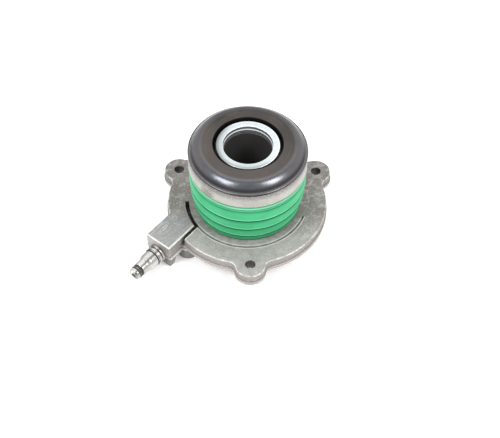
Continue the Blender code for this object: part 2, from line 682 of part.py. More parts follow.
def make_piston():
    turned("piston", [
        (PISTON_NOSE_RADIUS, PISTON_TOP_Z),
        (PISTON_NOSE_RADIUS, PISTON_SHOULDER_TOP_Z),
        (PISTON_SHOULDER_RADIUS, PISTON_SHOULDER_TOP_Z),
        (PISTON_SHOULDER_RADIUS, PISTON_SHOULDER_Z),
        (PISTON_RADIUS, PISTON_SHOULDER_Z),
        (PISTON_RADIUS, PISTON_FOOT_Z),
        (PISTON_BORE_RADIUS, PISTON_FOOT_Z),
        (PISTON_BORE_RADIUS, PISTON_TOP_Z),
    ], HIDDEN_SIDES, PISTON_PLASTIC, TRAVEL)
    outer = CYLINDER_RADIUS - SEAL_GAP
    inner = SLEEVE_RADIUS + SEAL_GAP
    middle = (outer + inner) / 2
    top = PISTON_FOOT_Z - SEAT_GAP
    foot = top - PISTON_SEAL_HEIGHT
    edge = PISTON_SEAL_HEIGHT / 10
    turned("piston_seal", [
        (outer - edge, top), (outer - edge, foot + PISTON_SEAL_NOTCH),
        (outer, foot + edge), (outer - edge, foot),
        (middle, foot + PISTON_SEAL_NOTCH),
        (inner + edge, foot), (inner, foot + edge),
        (inner + edge, foot + PISTON_SEAL_NOTCH), (inner + edge, top),
    ], HIDDEN_SIDES, BLACK_RUBBER, TRAVEL)


# Preload spring with a seat at each end
UPPER_SEAT_BORE_RADIUS = PISTON_SHOULDER_RADIUS + SEAT_GAP
UPPER_SEAT_RADIUS = max(SPRING_OUTER_RADIUS, UPPER_SEAT_BORE_RADIUS) + SPRING_SEAT_MARGIN
LOWER_SEAT_RADIUS = SPRING_OUTER_RADIUS + BOOT_SPRING_GAP - SEAT_GAP


def spring_points():
    """A coil whose first and last turns lie close, as a ground compression spring's do."""
    low = SPRING_FOOT_Z + SPRING_WIRE_RADIUS
    high = SPRING_TOP_Z - SPRING_WIRE_RADIUS
    dead_rise = 2 * SPRING_WIRE_RADIUS + RUN_GAP
    live_turns = SPRING_TURNS - 2
    live_rise = (high - low - 2 * dead_rise) / live_turns
    points = []
    for step in range(int(SPRING_TURNS * SPRING_STEPS) + 1):
        turn = step / SPRING_STEPS
        rise = dead_rise * min(turn, 1.0)
        rise += live_rise * min(max(turn - 1.0, 0.0), live_turns)
        rise += dead_rise * max(turn - 1.0 - live_turns, 0.0)
        x, y = polar(SPRING_RADIUS, 360.0 * turn)
        points.append((x, y, low + rise))
    return points


def make_preload_spring():
    curve = bpy.data.curves.new("preload_spring", "CURVE")
    curve.dimensions = "3D"
    curve.bevel_depth = SPRING_WIRE_RADIUS
    curve.bevel_resolution = 1
    curve.use_fill_caps = True
    points = spring_points()
    spline = curve.splines.new("POLY")
    spline.points.add(len(points) - 1)
    for point, place_on_coil in zip(spline.points, points):
        point.co = (*place_on_coil, 1.0)
    place(bpy.data.objects.new("preload_spring", curve), PARTS, AXIS, SPRING_STEEL)
    washer("spring_seat_lower", CYLINDER_OUTER_RADIUS + SEAT_GAP, LOWER_SEAT_RADIUS, BOOT_FOOT_Z, AXIS)
    washer("spring_seat_upper", UPPER_SEAT_BORE_RADIUS, UPPER_SEAT_RADIUS,
           PISTON_SHOULDER_TOP_Z - SPRING_SEAT_SHEET, TRAVEL)


def washer(name, bore, radius, foot, parent):
    top = foot + SPRING_SEAT_SHEET
    turned(name, [(radius, top), (radius, foot), (bore, foot), (bore, top)],
           HIDDEN_SIDES, PLATED_STEEL, parent)


# Rubber boot: broad lobes parted by narrow slits, between a foot and a top collar
def boot_profile():
    slope = (BOOT_TOP_RADIUS - BOOT_FOOT_RADIUS) / BOOT_HEIGHT
    folds_foot = BOOT_FOOT_Z + BOOT_FOOT_COLLAR
    folds_top = BOOT_TOP_Z - BOOT_TOP_COLLAR
    pitch = (folds_top - folds_foot) / BOOT_FOLDS
    slits = [folds_foot + pitch * i for i in range(BOOT_FOLDS + 1)]
    half = BOOT_SLIT / 2
    lobe_corner = BOOT_SLIT

    def skin(height):
        return BOOT_FOOT_RADIUS + slope * (height - BOOT_FOOT_Z)

    outer = [(skin(BOOT_FOOT_Z), BOOT_FOOT_Z)]
    inner = [(skin(BOOT_FOOT_Z) - BOOT_WALL - BOOT_FOLD_DEPTH, BOOT_FOOT_Z)]
    for slit in slits:
        depth = BOOT_FOLD_DEPTH if slit < slits[-1] else BOOT_FOLD_DEPTH / 3
        edge = skin(slit)
        outer += [
            (edge - BOOT_WALL / 4, slit - half - lobe_corner),
            (edge - BOOT_WALL / 2, slit - half),
            (edge - depth, slit),
            (edge - BOOT_WALL / 3, slit + half),
            (edge, slit + half + lobe_corner),
        ]
        inner += [
            (edge - depth - BOOT_WALL, slit),
            (skin(slit + pitch / 2) - BOOT_WALL, min(slit + pitch / 2, BOOT_TOP_Z - BOOT_WALL)),
        ]
    neck = CARRIER_INNER_RADIUS - SEAT_GAP
    bead_bore = UPPER_SEAT_RADIUS + SEAT_GAP
    bead_foot = PISTON_SHOULDER_TOP_Z - BOOT_BEAD_HEIGHT
    outer += [
        (BOOT_TOP_RADIUS, BOOT_TOP_Z - BOOT_INSET_IN_CARRIER),
        (BOOT_TOP_RADIUS - BOOT_INSET_IN_CARRIER, BOOT_TOP_Z),
        (neck, BOOT_TOP_Z),
        (neck, PISTON_SHOULDER_TOP_Z),
    ]
    inner += [(neck - BOOT_WALL, bead_foot), (bead_bore, bead_foot), (bead_bore, PISTON_SHOULDER_TOP_Z)]
    return outer + inner[::-1]


def make_boot():
    turned("dust_boot", boot_profile(), BOOT_SIDES, BOOT_RUBBER, AXIS)


# Bearing carrier: a pressed cup whose web rests on the piston's shoulder
def make_carrier():
    web_bore = INNER_SHIELD_BORE_RADIUS
    turned("bearing_carrier", [
        (CARRIER_RADIUS - CARRIER_EDGE, CARRIER_TOP_Z),
        (CARRIER_RADIUS, CARRIER_TOP_Z - CARRIER_EDGE),
        (CARRIER_RADIUS, CARRIER_FOOT_Z + CARRIER_EDGE),
        (CARRIER_RADIUS - CARRIER_EDGE, CARRIER_FOOT_Z),
        (CARRIER_INNER_RADIUS, CARRIER_FOOT_Z),
        (CARRIER_INNER_RADIUS, WEB_Z),
        (web_bore, WEB_Z),
        (web_bore, WEB_TOP_Z),
        (CARRIER_INNER_RADIUS, WEB_TOP_Z),
        (CARRIER_INNER_RADIUS, CARRIER_TOP_Z),
    ], VISIBLE_SIDES, CARRIER_SHEET, TRAVEL)


# Angular contact bearing: fixed race below and outside the balls, contact ring above and inside
def ball_arc(start, end, steps):
    return arc((BALL_PITCH_RADIUS, BALL_Z), GROOVE_BALL_RADIUS, start, end, steps)


def make_fixed_race():
    race_top = BALL_Z + RACE_LAND
    turned("fixed_race", [
        (RACE_RADIUS, race_top),
        (RACE_RADIUS, RACE_Z),
        (BALL_PITCH_RADIUS - RACE_LAND, RACE_Z),
        *ball_arc(-95.0, 3.0, 4),
        (BALL_PITCH_RADIUS + GROOVE_BALL_RADIUS, race_top),
    ], VISIBLE_SIDES, BALL_STEEL, TRAVEL)
    seal_foot = race_top + SEAT_GAP
    seal_bore = BALL_PITCH_RADIUS + GROOVE_BALL_RADIUS
    turned("outer_bearing_seal", [
        (RACE_RADIUS - SEAT_GAP, seal_foot + OUTER_SEAL_HEIGHT / 2),
        (RACE_RADIUS - SEAT_GAP, seal_foot),
        (seal_bore, seal_foot),
        (seal_bore, seal_foot + OUTER_SEAL_HEIGHT),
    ], VISIBLE_SIDES, BLACK_RUBBER, TRAVEL)
    shield_foot = WEB_TOP_Z + SEAT_GAP
    shield_top = FACE_Z - INNER_SHIELD_BELOW_FACE
    foot_radius = CONTACT_HUB_RADIUS
    turned("inner_bearing_shield", [
        (INNER_SHIELD_RADIUS, shield_top),
        (INNER_SHIELD_RADIUS, shield_foot + INNER_SHIELD_SHEET),
        (foot_radius, shield_foot + INNER_SHIELD_SHEET),
        (foot_radius, shield_foot),
        (INNER_SHIELD_BORE_RADIUS, shield_foot),
        (INNER_SHIELD_BORE_RADIUS, shield_top),
    ], HIDDEN_SIDES, BLACK_RUBBER, TRAVEL)


def contact_ring_profile():
    chamfer = CONTACT_PLATE / 10
    flat_end = CONTACT_BORE_RADIUS + CONTACT_FLAT_WIDTH
    shoulder_end = CONTACT_LIP_RADIUS - CONTACT_LIP_WIDTH
    reach = shoulder_end - flat_end
    shoulder = []
    for angle in (90.0, 70.0, 50.0, 30.0, 12.0, 0.0):
        turn = math.radians(angle)
        height = CONTACT_SHOULDER_Z + CONTACT_SHOULDER_DROP * math.sin(turn)
        shoulder.append((flat_end + reach * math.cos(turn), height))
    plate_foot = FACE_Z - CONTACT_PLATE + CONTACT_PLATE / 5
    lip_edge = CONTACT_LIP_HEIGHT / 5
    return [
        (CONTACT_BORE_RADIUS, FACE_Z - chamfer),
        (CONTACT_BORE_RADIUS + chamfer, FACE_Z),
        *shoulder,
        (shoulder_end, LIP_TOP_Z + lip_edge),
        (CONTACT_LIP_RADIUS - lip_edge, LIP_TOP_Z),
        (CONTACT_LIP_RADIUS, LIP_TOP_Z - lip_edge),
        (CONTACT_LIP_RADIUS, LIP_FOOT_Z + lip_edge),
        (CONTACT_LIP_RADIUS - lip_edge, LIP_FOOT_Z),
        (shoulder_end - lip_edge, LIP_FOOT_Z),
        (shoulder_end - CONTACT_SHOULDER_THICKNESS, CONTACT_SHOULDER_Z - lip_edge),
        (BALL_PITCH_RADIUS + BALL_RADIUS, plate_foot),
        (BALL_PITCH_RADIUS + BALL_RADIUS / 3, plate_foot),
        *ball_arc(80.0, 180.0, 3),
        (CONTACT_HUB_RADIUS, BALL_Z - CONTACT_HUB_BELOW_BALL),
        (CONTACT_BORE_RADIUS, BALL_Z - CONTACT_HUB_BELOW_BALL),
    ]


def make_contact_ring():
    # The turning pieces' origin lies on the spin axis at the balls' height
    profile = [(radius, height - BALL_Z) for radius, height in contact_ring_profile()]
    turned("contact_ring", profile, VISIBLE_SIDES, BEARING_STEEL, SPIN)


def cage_profile():
    """A cone-shaped band through the ball centres, square to the line on which the balls bear."""
    lean = math.radians(CONTACT_ANGLE)
    half_length = POCKET_CORNER_RADIUS + CAGE_RIM
    corners = [(half_length, 1), (half_length, -1), (-half_length, -1), (-half_length, 1)]
    profile = []
    for along, side in corners:
        across = side * CAGE_SHEET / 2
        radius = BALL_PITCH_RADIUS + along * math.cos(lean) - across * math.sin(lean)
        profile.append((radius, along * math.sin(lean) + across * math.cos(lean)))
    return profile


def cage_pockets():
    """One guide holding a drill for each ball, all square to the cage's cone."""
    mesh = bpy.data.meshes.new("cage_pockets")
    edit = bmesh.new()
    for index in range(BALL_COUNT):
        around = Matrix.Rotation(2 * math.pi * index / BALL_COUNT, 4, "Z")
        out = Matrix.Translation((BALL_PITCH_RADIUS, 0.0, 0.0))
        tilt = Matrix.Rotation(-math.radians(CONTACT_ANGLE), 4, "Y")
        bmesh.ops.create_cone(
            edit, cap_ends=True, segments=POCKET_SIDES, radius1=POCKET_CORNER_RADIUS,
            radius2=POCKET_CORNER_RADIUS, depth=4 * CAGE_SHEET, matrix=around @ out @ tilt)
    edit.to_mesh(mesh)
    edit.free()
    pockets = bpy.data.objects.new("cage_pockets", mesh)
    place(pockets, GUIDES, SPIN)
    make_guide(pockets)
    return pockets


def make_ball_set():
    cage = turned("ball_cage", cage_profile(), 2 * BALL_COUNT, CAGE_PLASTIC, SPIN)
    boolean(cage, cage_pockets(), "DIFFERENCE")
    for index in range(BALL_COUNT):
        bpy.ops.mesh.primitive_uv_sphere_add(
            segments=BALL_SIDES, ring_count=BALL_RINGS, radius=BALL_RADIUS)
        ball = adopt(f"ball_{index + 1:02d}", SPIN, BALL_STEEL)
        ball.location = (*polar(BALL_PITCH_RADIUS, 360.0 * index / BALL_COUNT), 0.0)
        smooth(ball, 80.0)


# Inlet nipple, with its length measured out from the block's end face
NIPPLE_SPIGOT_RADIUS = SOCKET_RADIUS - SEAT_GAP
RING_GROOVE_WIDTH = 2 * NIPPLE_RING_RADIUS + RUN_GAP
RING_GROOVE_FLOOR = NIPPLE_TIP_RADIUS - 1.5 * NIPPLE_RING_RADIUS
FRONT_GROOVE_TOP = NIPPLE_LENGTH - NIPPLE_NOSE_LENGTH
FRONT_RING_AT = FRONT_GROOVE_TOP - RING_GROOVE_WIDTH / 2
REAR_RING_AT = FRONT_RING_AT - NIPPLE_RING_SPACING
SPIGOT_RING_AT = -SOCKET_DEPTH / 2
SPIGOT_GROOVE_FLOOR = NIPPLE_SPIGOT_RADIUS - 1.7 * NIPPLE_RING_RADIUS
CLIP_GROOVE_AT = SEAT_GAP + 2 * NIPPLE_COLLAR_LENGTH + 2 * NIPPLE_NECK_LENGTH + NIPPLE_CLIP_RADIUS


def groove(at, width, wall, floor):
    """Four profile points of a square groove, from its outer end to its inner end."""
    return [(wall, at + width / 2), (floor, at + width / 2), (floor, at - width / 2), (wall, at - width / 2)]


def nipple_profile():
    tip = NIPPLE_LENGTH
    clip_width = 2 * NIPPLE_CLIP_RADIUS + RUN_GAP / 2
    barrel_end = CLIP_GROOVE_AT + clip_width / 2 + NIPPLE_BARREL_LENGTH
    collar_foot = SEAT_GAP
    collar_top = collar_foot + NIPPLE_COLLAR_LENGTH
    second_foot = collar_top + NIPPLE_NECK_LENGTH
    second_top = second_foot + NIPPLE_COLLAR_LENGTH
    inner_end = SEAT_GAP - SOCKET_DEPTH
    return [
        (NIPPLE_BORE_RADIUS, tip),
        (NIPPLE_TIP_RADIUS * 0.75, tip),
        (NIPPLE_TIP_RADIUS * 0.94, tip - NIPPLE_NOSE_LENGTH * 0.35),
        *groove(FRONT_RING_AT, RING_GROOVE_WIDTH, NIPPLE_TIP_RADIUS, RING_GROOVE_FLOOR),
        *groove(REAR_RING_AT, RING_GROOVE_WIDTH, NIPPLE_TIP_RADIUS, RING_GROOVE_FLOOR)[:3],
        (NIPPLE_STEM_RADIUS, REAR_RING_AT - RING_GROOVE_WIDTH / 2),
        (NIPPLE_STEM_RADIUS, barrel_end + NIPPLE_TAPER_LENGTH),
        (NIPPLE_BARREL_RADIUS, barrel_end),
        *groove(CLIP_GROOVE_AT, clip_width, NIPPLE_BARREL_RADIUS, NIPPLE_BARREL_RADIUS - NIPPLE_CLIP_RADIUS),
        (NIPPLE_BARREL_RADIUS, second_top),
        (NIPPLE_SECOND_COLLAR_RADIUS, second_top),
        (NIPPLE_SECOND_COLLAR_RADIUS, second_foot),
        (NIPPLE_NECK_RADIUS, second_foot),
        (NIPPLE_NECK_RADIUS, collar_top),
        (NIPPLE_COLLAR_RADIUS, collar_top),
        (NIPPLE_COLLAR_RADIUS, collar_foot),
        (NIPPLE_SPIGOT_RADIUS, collar_foot),
        *groove(SPIGOT_RING_AT, RING_GROOVE_WIDTH, NIPPLE_SPIGOT_RADIUS, SPIGOT_GROOVE_FLOOR),
        (NIPPLE_SPIGOT_RADIUS, inner_end),
        (NIPPLE_BORE_RADIUS, inner_end),
    ]


def make_nipple():
    turned("inlet_nipple", nipple_profile(), SMALL_SIDES, PLATED_STEEL, PORT)
    ring_radius = RING_GROOVE_FLOOR + RUN_GAP / 2 + NIPPLE_RING_RADIUS
    ring("nipple_o_ring_front", ring_radius, NIPPLE_RING_RADIUS, FRONT_RING_AT, PORT, BLACK_RUBBER, SMALL_SIDES)
    ring("nipple_o_ring_rear", ring_radius, NIPPLE_RING_RADIUS, REAR_RING_AT, PORT, BLACK_RUBBER, SMALL_SIDES)
    spigot_ring = NIPPLE_RING_RADIUS * 0.8
    ring("nipple_socket_o_ring", SPIGOT_GROOVE_FLOOR + RUN_GAP / 2 + spigot_ring, spigot_ring,
         SPIGOT_RING_AT, PORT, BLACK_RUBBER, SMALL_SIDES)
    ring("nipple_clip_ring", NIPPLE_BARREL_RADIUS + RUN_GAP / 2, NIPPLE_CLIP_RADIUS,
         CLIP_GROOVE_AT, PORT, SPRING_STEEL, SMALL_SIDES)


make_housing()
make_sleeve_and_seals()
make_piston()
make_preload_spring()
make_boot()
make_carrier()
make_fixed_race()
make_contact_ring()
make_ball_set()
make_nipple()
bpy.context.view_layer.update()
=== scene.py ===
# %% [markdown]
# # A concentric clutch slave cylinder
# This part sits round a gearbox's input shaft and pushes on the clutch. A cast flange carries
# everything, a green rubber boot hides the cylinder, and a dark bearing ring on top touches the clutch.
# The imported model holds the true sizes, so the first step loads it and reads the places that matter.

import json
import math

import bmesh
import bpy
from mathutils import Matrix, Vector


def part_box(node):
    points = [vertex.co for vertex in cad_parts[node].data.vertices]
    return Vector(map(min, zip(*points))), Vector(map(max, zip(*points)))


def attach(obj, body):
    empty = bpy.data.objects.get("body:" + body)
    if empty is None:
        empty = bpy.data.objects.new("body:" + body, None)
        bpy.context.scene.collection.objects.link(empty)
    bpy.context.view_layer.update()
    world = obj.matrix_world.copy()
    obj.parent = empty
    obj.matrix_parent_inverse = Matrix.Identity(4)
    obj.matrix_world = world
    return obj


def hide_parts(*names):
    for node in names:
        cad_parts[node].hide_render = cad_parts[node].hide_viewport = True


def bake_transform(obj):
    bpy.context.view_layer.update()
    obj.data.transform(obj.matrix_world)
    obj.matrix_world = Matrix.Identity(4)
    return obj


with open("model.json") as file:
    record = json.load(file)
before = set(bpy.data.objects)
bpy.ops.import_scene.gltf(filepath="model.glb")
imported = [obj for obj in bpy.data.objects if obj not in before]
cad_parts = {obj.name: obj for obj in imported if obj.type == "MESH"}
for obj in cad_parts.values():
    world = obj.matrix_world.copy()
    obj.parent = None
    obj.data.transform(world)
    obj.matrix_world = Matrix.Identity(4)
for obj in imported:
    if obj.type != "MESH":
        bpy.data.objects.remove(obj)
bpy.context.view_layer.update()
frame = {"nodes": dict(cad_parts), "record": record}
sleeve_low, sleeve_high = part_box("guide_sleeve")
BORE = Vector(((sleeve_low.x + sleeve_high.x) / 2, (sleeve_low.y + sleeve_high.y) / 2, 0.0))
MM = 0.001
print("bore axis at", [round(value / MM, 2) for value in BORE])

# %% [markdown]
# Heights come from the solids, so that a detailed piece always meets its neighbour. All shapes below
# are written in millimetres round the bore axis, and are shrunk and shifted once at the end. Pieces
# that slide past each other or lie on each other keep a small clearance.

# %% Heights read from the solids
def top_of(node):
    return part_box(node)[1].z / MM


def foot_of(node):
    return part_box(node)[0].z / MM


CLEARANCE = 0.3
FLANGE_TOP = foot_of("dust_boot") - CLEARANCE
FACE = top_of("contact_ring")
SLEEVE_TOP = top_of("guide_sleeve")
CARRIER_FOOT = foot_of("bearing_carrier")
CARRIER_TOP = top_of("bearing_carrier")
WEB_TOP = foot_of("inner_bearing_shield") - CLEARANCE
print("flange", FLANGE_TOP, "face", FACE, "sleeve", SLEEVE_TOP, "carrier", CARRIER_FOOT, CARRIER_TOP)

# %% [markdown]
# ## The camera
# A camera's matrix is its three directions and its place. The photograph looks down at the part from
# in front, from 51 degrees above the floor and 80 cm away, with a slight roll.

# %% Camera
LOOK_DOWN = math.radians(51.35)
ROLL = math.radians(1.03)
DISTANCE = 800.0
ASIDE = (1.85, -12.44)
SENSOR_WIDTH = 36.0
LENS_LENGTH = 87.8

back = Vector((0.0, -math.cos(LOOK_DOWN), math.sin(LOOK_DOWN)))
level = Vector((1.0, 0.0, 0.0))
upward = back.cross(level)
across = level * math.cos(ROLL) + upward * math.sin(ROLL)
upright = upward * math.cos(ROLL) - level * math.sin(ROLL)
eye = (across * ASIDE[0] + upright * ASIDE[1] + back * DISTANCE) * MM + BORE
eye.z += FLANGE_TOP * MM

camera_data = bpy.data.cameras.new("camera")
camera_data.sensor_width = SENSOR_WIDTH
camera_data.lens = LENS_LENGTH
camera = bpy.data.objects.new("camera", camera_data)
camera.matrix_world = Matrix.Translation(eye) @ Matrix((across, upright, back)).transposed().to_4x4()
bpy.context.scene.collection.objects.link(camera)
bpy.context.scene.camera = camera
print("camera at", [round(value, 3) for value in eye])

# %% [markdown]
# ## Shader helpers
# A material is a graph of small nodes. `Value` wraps one socket of it, so that masks and tones can be
# written as ordinary sums, and `Finish` makes the nodes of one material. A mask is a number from 0 to
# 1 that says where a tone goes.

# %% Sums on sockets
class Value:
    """One socket of a shader's tree, used in ordinary Python sums."""

    def __init__(self, finish, socket):
        self.finish = finish
        self.socket = socket

    def sum(self, operation, *others):
        return self.finish.node("ShaderNodeMath", {"operation": operation}, [self, *others])

    def __add__(self, other):
        return self.sum("ADD", other)

    def __sub__(self, other):
        return self.sum("SUBTRACT", other)

    def __mul__(self, other):
        return self.sum("MULTIPLY", other)

    def __truediv__(self, other):
        return self.sum("DIVIDE", other)

    def __pow__(self, other):
        return self.sum("POWER", other)

    def __rsub__(self, other):
        return self.finish.node("ShaderNodeMath", {"operation": "SUBTRACT"}, [other, self])

    __radd__ = __add__
    __rmul__ = __mul__

    def between(self, low, high):
        """0 below low, 1 above high, and a smooth rise from one to the other."""
        settings = {"interpolation_type": "SMOOTHSTEP"}
        limits = {"Value": self, "From Min": low, "From Max": high}
        return self.finish.node("ShaderNodeMapRange", settings, limits)

    def until(self, low, high):
        """1 below low, 0 above high, and a smooth fall from one to the other."""
        return 1.0 - self.between(low, high)

    def band(self, rise, full, fall, gone):
        """1 from full to fall, and 0 before rise and after gone."""
        return self.between(rise, full) * self.until(fall, gone)

    def clamped(self):
        return self.finish.node("ShaderNodeClamp", {}, [self])

    def tinted(self, share, colour):
        """This colour with a share of another one laid over it."""
        return self.finish.mix(share, self, colour)


# %% [markdown]
# Each node is made by one method, which sets what it is told and links or fills its inputs. The other
# methods are short names for the nodes used most.

# %% Nodes of a finish
class Finish:
    """A node tree under construction, for one material or the world."""

    def __init__(self, tree):
        self.tree = tree
        tree.nodes.clear()

    def node(self, kind, settings=None, inputs=None, output=0):
        made = self.tree.nodes.new(kind)
        for key, setting in (settings or {}).items():
            if key == "stops":
                self.set_stops(made.color_ramp, setting)
            else:
                setattr(made, key, setting)
        pairs = inputs.items() if isinstance(inputs, dict) else enumerate(inputs or [])
        for key, value in pairs:
            self.feed(made.inputs[key], value)
        return Value(self, made.outputs[output]) if made.outputs else made

    def feed(self, socket, value):
        if isinstance(value, Value):
            self.tree.links.new(value.socket, socket)
        elif isinstance(value, (tuple, list)) and len(value) == 3 and len(socket.default_value) == 4:
            socket.default_value = (*value, 1.0)
        else:
            socket.default_value = value

    def set_stops(self, ramp, stops):
        while len(ramp.elements) < len(stops):
            ramp.elements.new(1.0)
        for element, (place, colour) in zip(ramp.elements, stops):
            element.position = place
            element.color = (*colour, 1.0)

    def mix(self, share, first, second):
        """Blends two colours; share 0 is all first."""
        settings = {"data_type": "RGBA"}
        return self.node("ShaderNodeMix", settings, {0: share, 6: first, 7: second}, output=2)

    def noise(self, where, scale, detail=3.0, roughness=0.5):
        inputs = {"Vector": where, "Scale": scale, "Detail": detail, "Roughness": roughness}
        return self.node("ShaderNodeTexNoise", {}, inputs)

    def bump(self, height, distance, strength):
        inputs = {"Height": height, "Distance": distance, "Strength": strength}
        return self.node("ShaderNodeBump", {}, inputs)

    def place(self, turn=0.0, scale=(1.0, 1.0, 1.0)):
        """Object coordinates in millimetres round the bore axis, turned about Z and stretched."""
        spot = self.node("ShaderNodeTexCoord", {}, output=3)
        centred = self.node("ShaderNodeMapping", {}, {
            "Vector": spot, "Location": tuple(-BORE / MM), "Scale": (1 / MM, 1 / MM, 1 / MM)})
        turned = self.node("ShaderNodeMapping", {}, {"Vector": centred, "Rotation": (0.0, 0.0, turn)})
        return self.node("ShaderNodeMapping", {}, {"Vector": turned, "Scale": scale})

    def parts(self, where):
        """The three numbers of a vector."""
        first = self.node("ShaderNodeSeparateXYZ", {}, [where])
        return [Value(self, output) for output in first.socket.node.outputs]


def distance(x, y):
    """How far a spot lies from where x and y are both 0."""
    return (x * x + y * y) ** 0.5


def surface(name, build):
    """A material whose build function returns the Principled shader's inputs."""
    material = bpy.data.materials.new(name)
    material.use_nodes = True
    finish = Finish(material.node_tree)
    shader = finish.node("ShaderNodeBsdfPrincipled", {}, build(finish))
    finish.node("ShaderNodeOutputMaterial", {}, {"Surface": shader})
    return material


def grained(name, scale, dark, light, smooth, rough, detail=3.0, **constants):
    """A plain material: grain mixes two colours, and roughens the surface from smooth by rough."""
    def build(finish):
        grain = finish.noise(finish.place(), scale, detail)
        roughness = smooth + grain * rough if rough else smooth
        return {"Base Color": finish.mix(grain, dark, light), "Roughness": roughness, **constants}

    return surface(name, build)


# %% [markdown]
# ## Floor, world and lamps
# The photograph has a white ground with hardly any shadow. The world is white where the camera or a
# reflection looks at it, and gentler where it lights the part. Two soft boxes stand left and right,
# because the bearing's round shoulder shows two separate highlights. The floor lies a hair below the
# part, so that the two never share a plane.

# %% World, floor and lamps
AMBIENT = 0.56
AIM_HEIGHT = 0.05
FLOOR_REACH = 3.0
FLOOR_DROP = 0.0002

world = bpy.data.worlds.new("studio")
world.use_nodes = True
bpy.context.scene.world = world
sky = Finish(world.node_tree)
looked_at = sky.node("ShaderNodeLightPath", {}, output=0)
mirrored = sky.node("ShaderNodeLightPath", {}, output=3)
seen_through = sky.node("ShaderNodeLightPath", {}, output=6)
direct = (looked_at + mirrored + seen_through).clamped()
strength = direct * (1.0 - AMBIENT) + AMBIENT
ground_light = sky.node("ShaderNodeBackground", {}, {"Color": (1.0, 1.0, 1.0), "Strength": strength})
sky.node("ShaderNodeOutputWorld", {}, {"Surface": ground_light})


def soft_box(name, direction, away, size, power):
    """A lit rectangle that looks at the middle of the part."""
    data = bpy.data.lights.new(name, "AREA")
    data.shape = "RECTANGLE"
    data.size, data.size_y = size
    data.energy = power
    lamp = bpy.data.objects.new(name, data)
    aim = Vector(direction).normalized()
    lamp.location = BORE + Vector((0.0, 0.0, AIM_HEIGHT)) + aim * away
    lamp.rotation_euler = aim.to_track_quat("Z", "Y").to_euler()
    bpy.context.scene.collection.objects.link(lamp)
    print(name, [round(value, 3) for value in lamp.location], power, "W")


soft_box("left_box", (-0.50, -0.38, 0.73), 0.9, (0.38, 0.34), 5.0)
soft_box("right_box", (0.56, -0.37, 0.74), 0.9, (0.32, 0.38), 5.0)
soft_box("top_box", (0.0, 0.35, 0.94), 1.1, (0.9, 0.6), 3.0)

floor_mesh = bmesh.new()
bmesh.ops.create_grid(floor_mesh, x_segments=1, y_segments=1, size=FLOOR_REACH)
floor_data = bpy.data.meshes.new("floor")
floor_mesh.to_mesh(floor_data)
floor_mesh.free()
floor = bpy.data.objects.new("floor", floor_data)
floor.location.z = -FLOOR_DROP
bpy.context.scene.collection.objects.link(floor)


def paper(finish):
    return {"Base Color": (0.93, 0.93, 0.93), "Roughness": 0.9, "Emission Color": (1.0, 1.0, 1.0),
            "Emission Strength": 0.22, "Specular IOR Level": 0.1}


floor.data.materials.append(surface("white_paper", paper))
bpy.context.scene.view_settings.view_transform = "Standard"

# %% [markdown]
# ## Mesh helpers
# Nearly every piece here was turned on a lathe or moulded round, so it starts as half of its section
# and is spun round the axis. Real edges are never quite sharp, so chosen rims are then bevelled.

# %% Spin a section and round its rims
ROUND_STEPS = 128
BEVEL_STEPS = 3
TOUCHING = 0.0001
NEAR = 0.01


def spin_round(shape, steps):
    """Spins a whole shape once round the axis and closes the seam."""
    bmesh.ops.spin(
        shape, geom=shape.verts[:] + shape.edges[:], cent=(0, 0, 0), axis=(0, 0, 1), angle=math.tau,
        steps=steps, use_merge=True)
    bmesh.ops.remove_doubles(shape, verts=shape.verts[:], dist=TOUCHING)
    bmesh.ops.recalc_face_normals(shape, faces=shape.faces[:])
    return shape


def spin_section(section, steps=ROUND_STEPS):
    """Spins a closed (radius, height) section in millimetres into a ring."""
    shape = bmesh.new()
    points = [shape.verts.new((radius, 0.0, height)) for radius, height in section]
    for first, second in zip(points, points[1:] + points[:1]):
        shape.edges.new((first, second))
    return spin_round(shape, steps)


def bevel_edges(shape, edges, width):
    """Rounds some edges off by a width in millimetres."""
    bmesh.ops.bevel(
        shape, geom=edges, offset=width, offset_type="OFFSET", segments=BEVEL_STEPS, profile=0.5,
        affect="EDGES", clamp_overlap=True, material=-1)


def round_rim(shape, radius, height, width):
    """Bevels the circular edge that passes through one corner of the section."""
    rim = []
    for edge in shape.edges:
        ends = [math.hypot(math.hypot(v.co.x, v.co.y) - radius, v.co.z - height) for v in edge.verts]
        if max(ends) < NEAR:
            rim.append(edge)
    bevel_edges(shape, rim, width)


# %% [markdown]
# A finished shape becomes a piece: it gets its material, and when a body is named it rides that body of
# the imported part and hides the solids that it stands for.

# %% Settle a shape as a piece
def shade_evenly(piece):
    """Keeps flat faces looking flat beside their rounded edges."""
    even = piece.modifiers.new("even_shading", "WEIGHTED_NORMAL")
    even.keep_sharp = True


def settle(shape, name, body, material, replaces=(), sharp=32.0, place=None):
    """Shrinks a millimetre shape, puts it in place and makes it a finished piece."""
    if place is not None:
        bmesh.ops.transform(shape, matrix=place, verts=shape.verts[:])
    bmesh.ops.scale(shape, vec=(MM, MM, MM), verts=shape.verts[:])
    bmesh.ops.translate(shape, vec=BORE, verts=shape.verts[:])
    mesh = bpy.data.meshes.new(name)
    shape.to_mesh(mesh)
    shape.free()
    piece = bpy.data.objects.new(name, mesh)
    bpy.context.scene.collection.objects.link(piece)
    mesh.materials.append(material)
    mesh.shade_smooth()
    mesh.set_sharp_from_angle(angle=math.radians(sharp))
    if body:
        shade_evenly(piece)
        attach(piece, body)
        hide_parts(*replaces)
    print(name, len(mesh.polygons), "faces")
    return piece
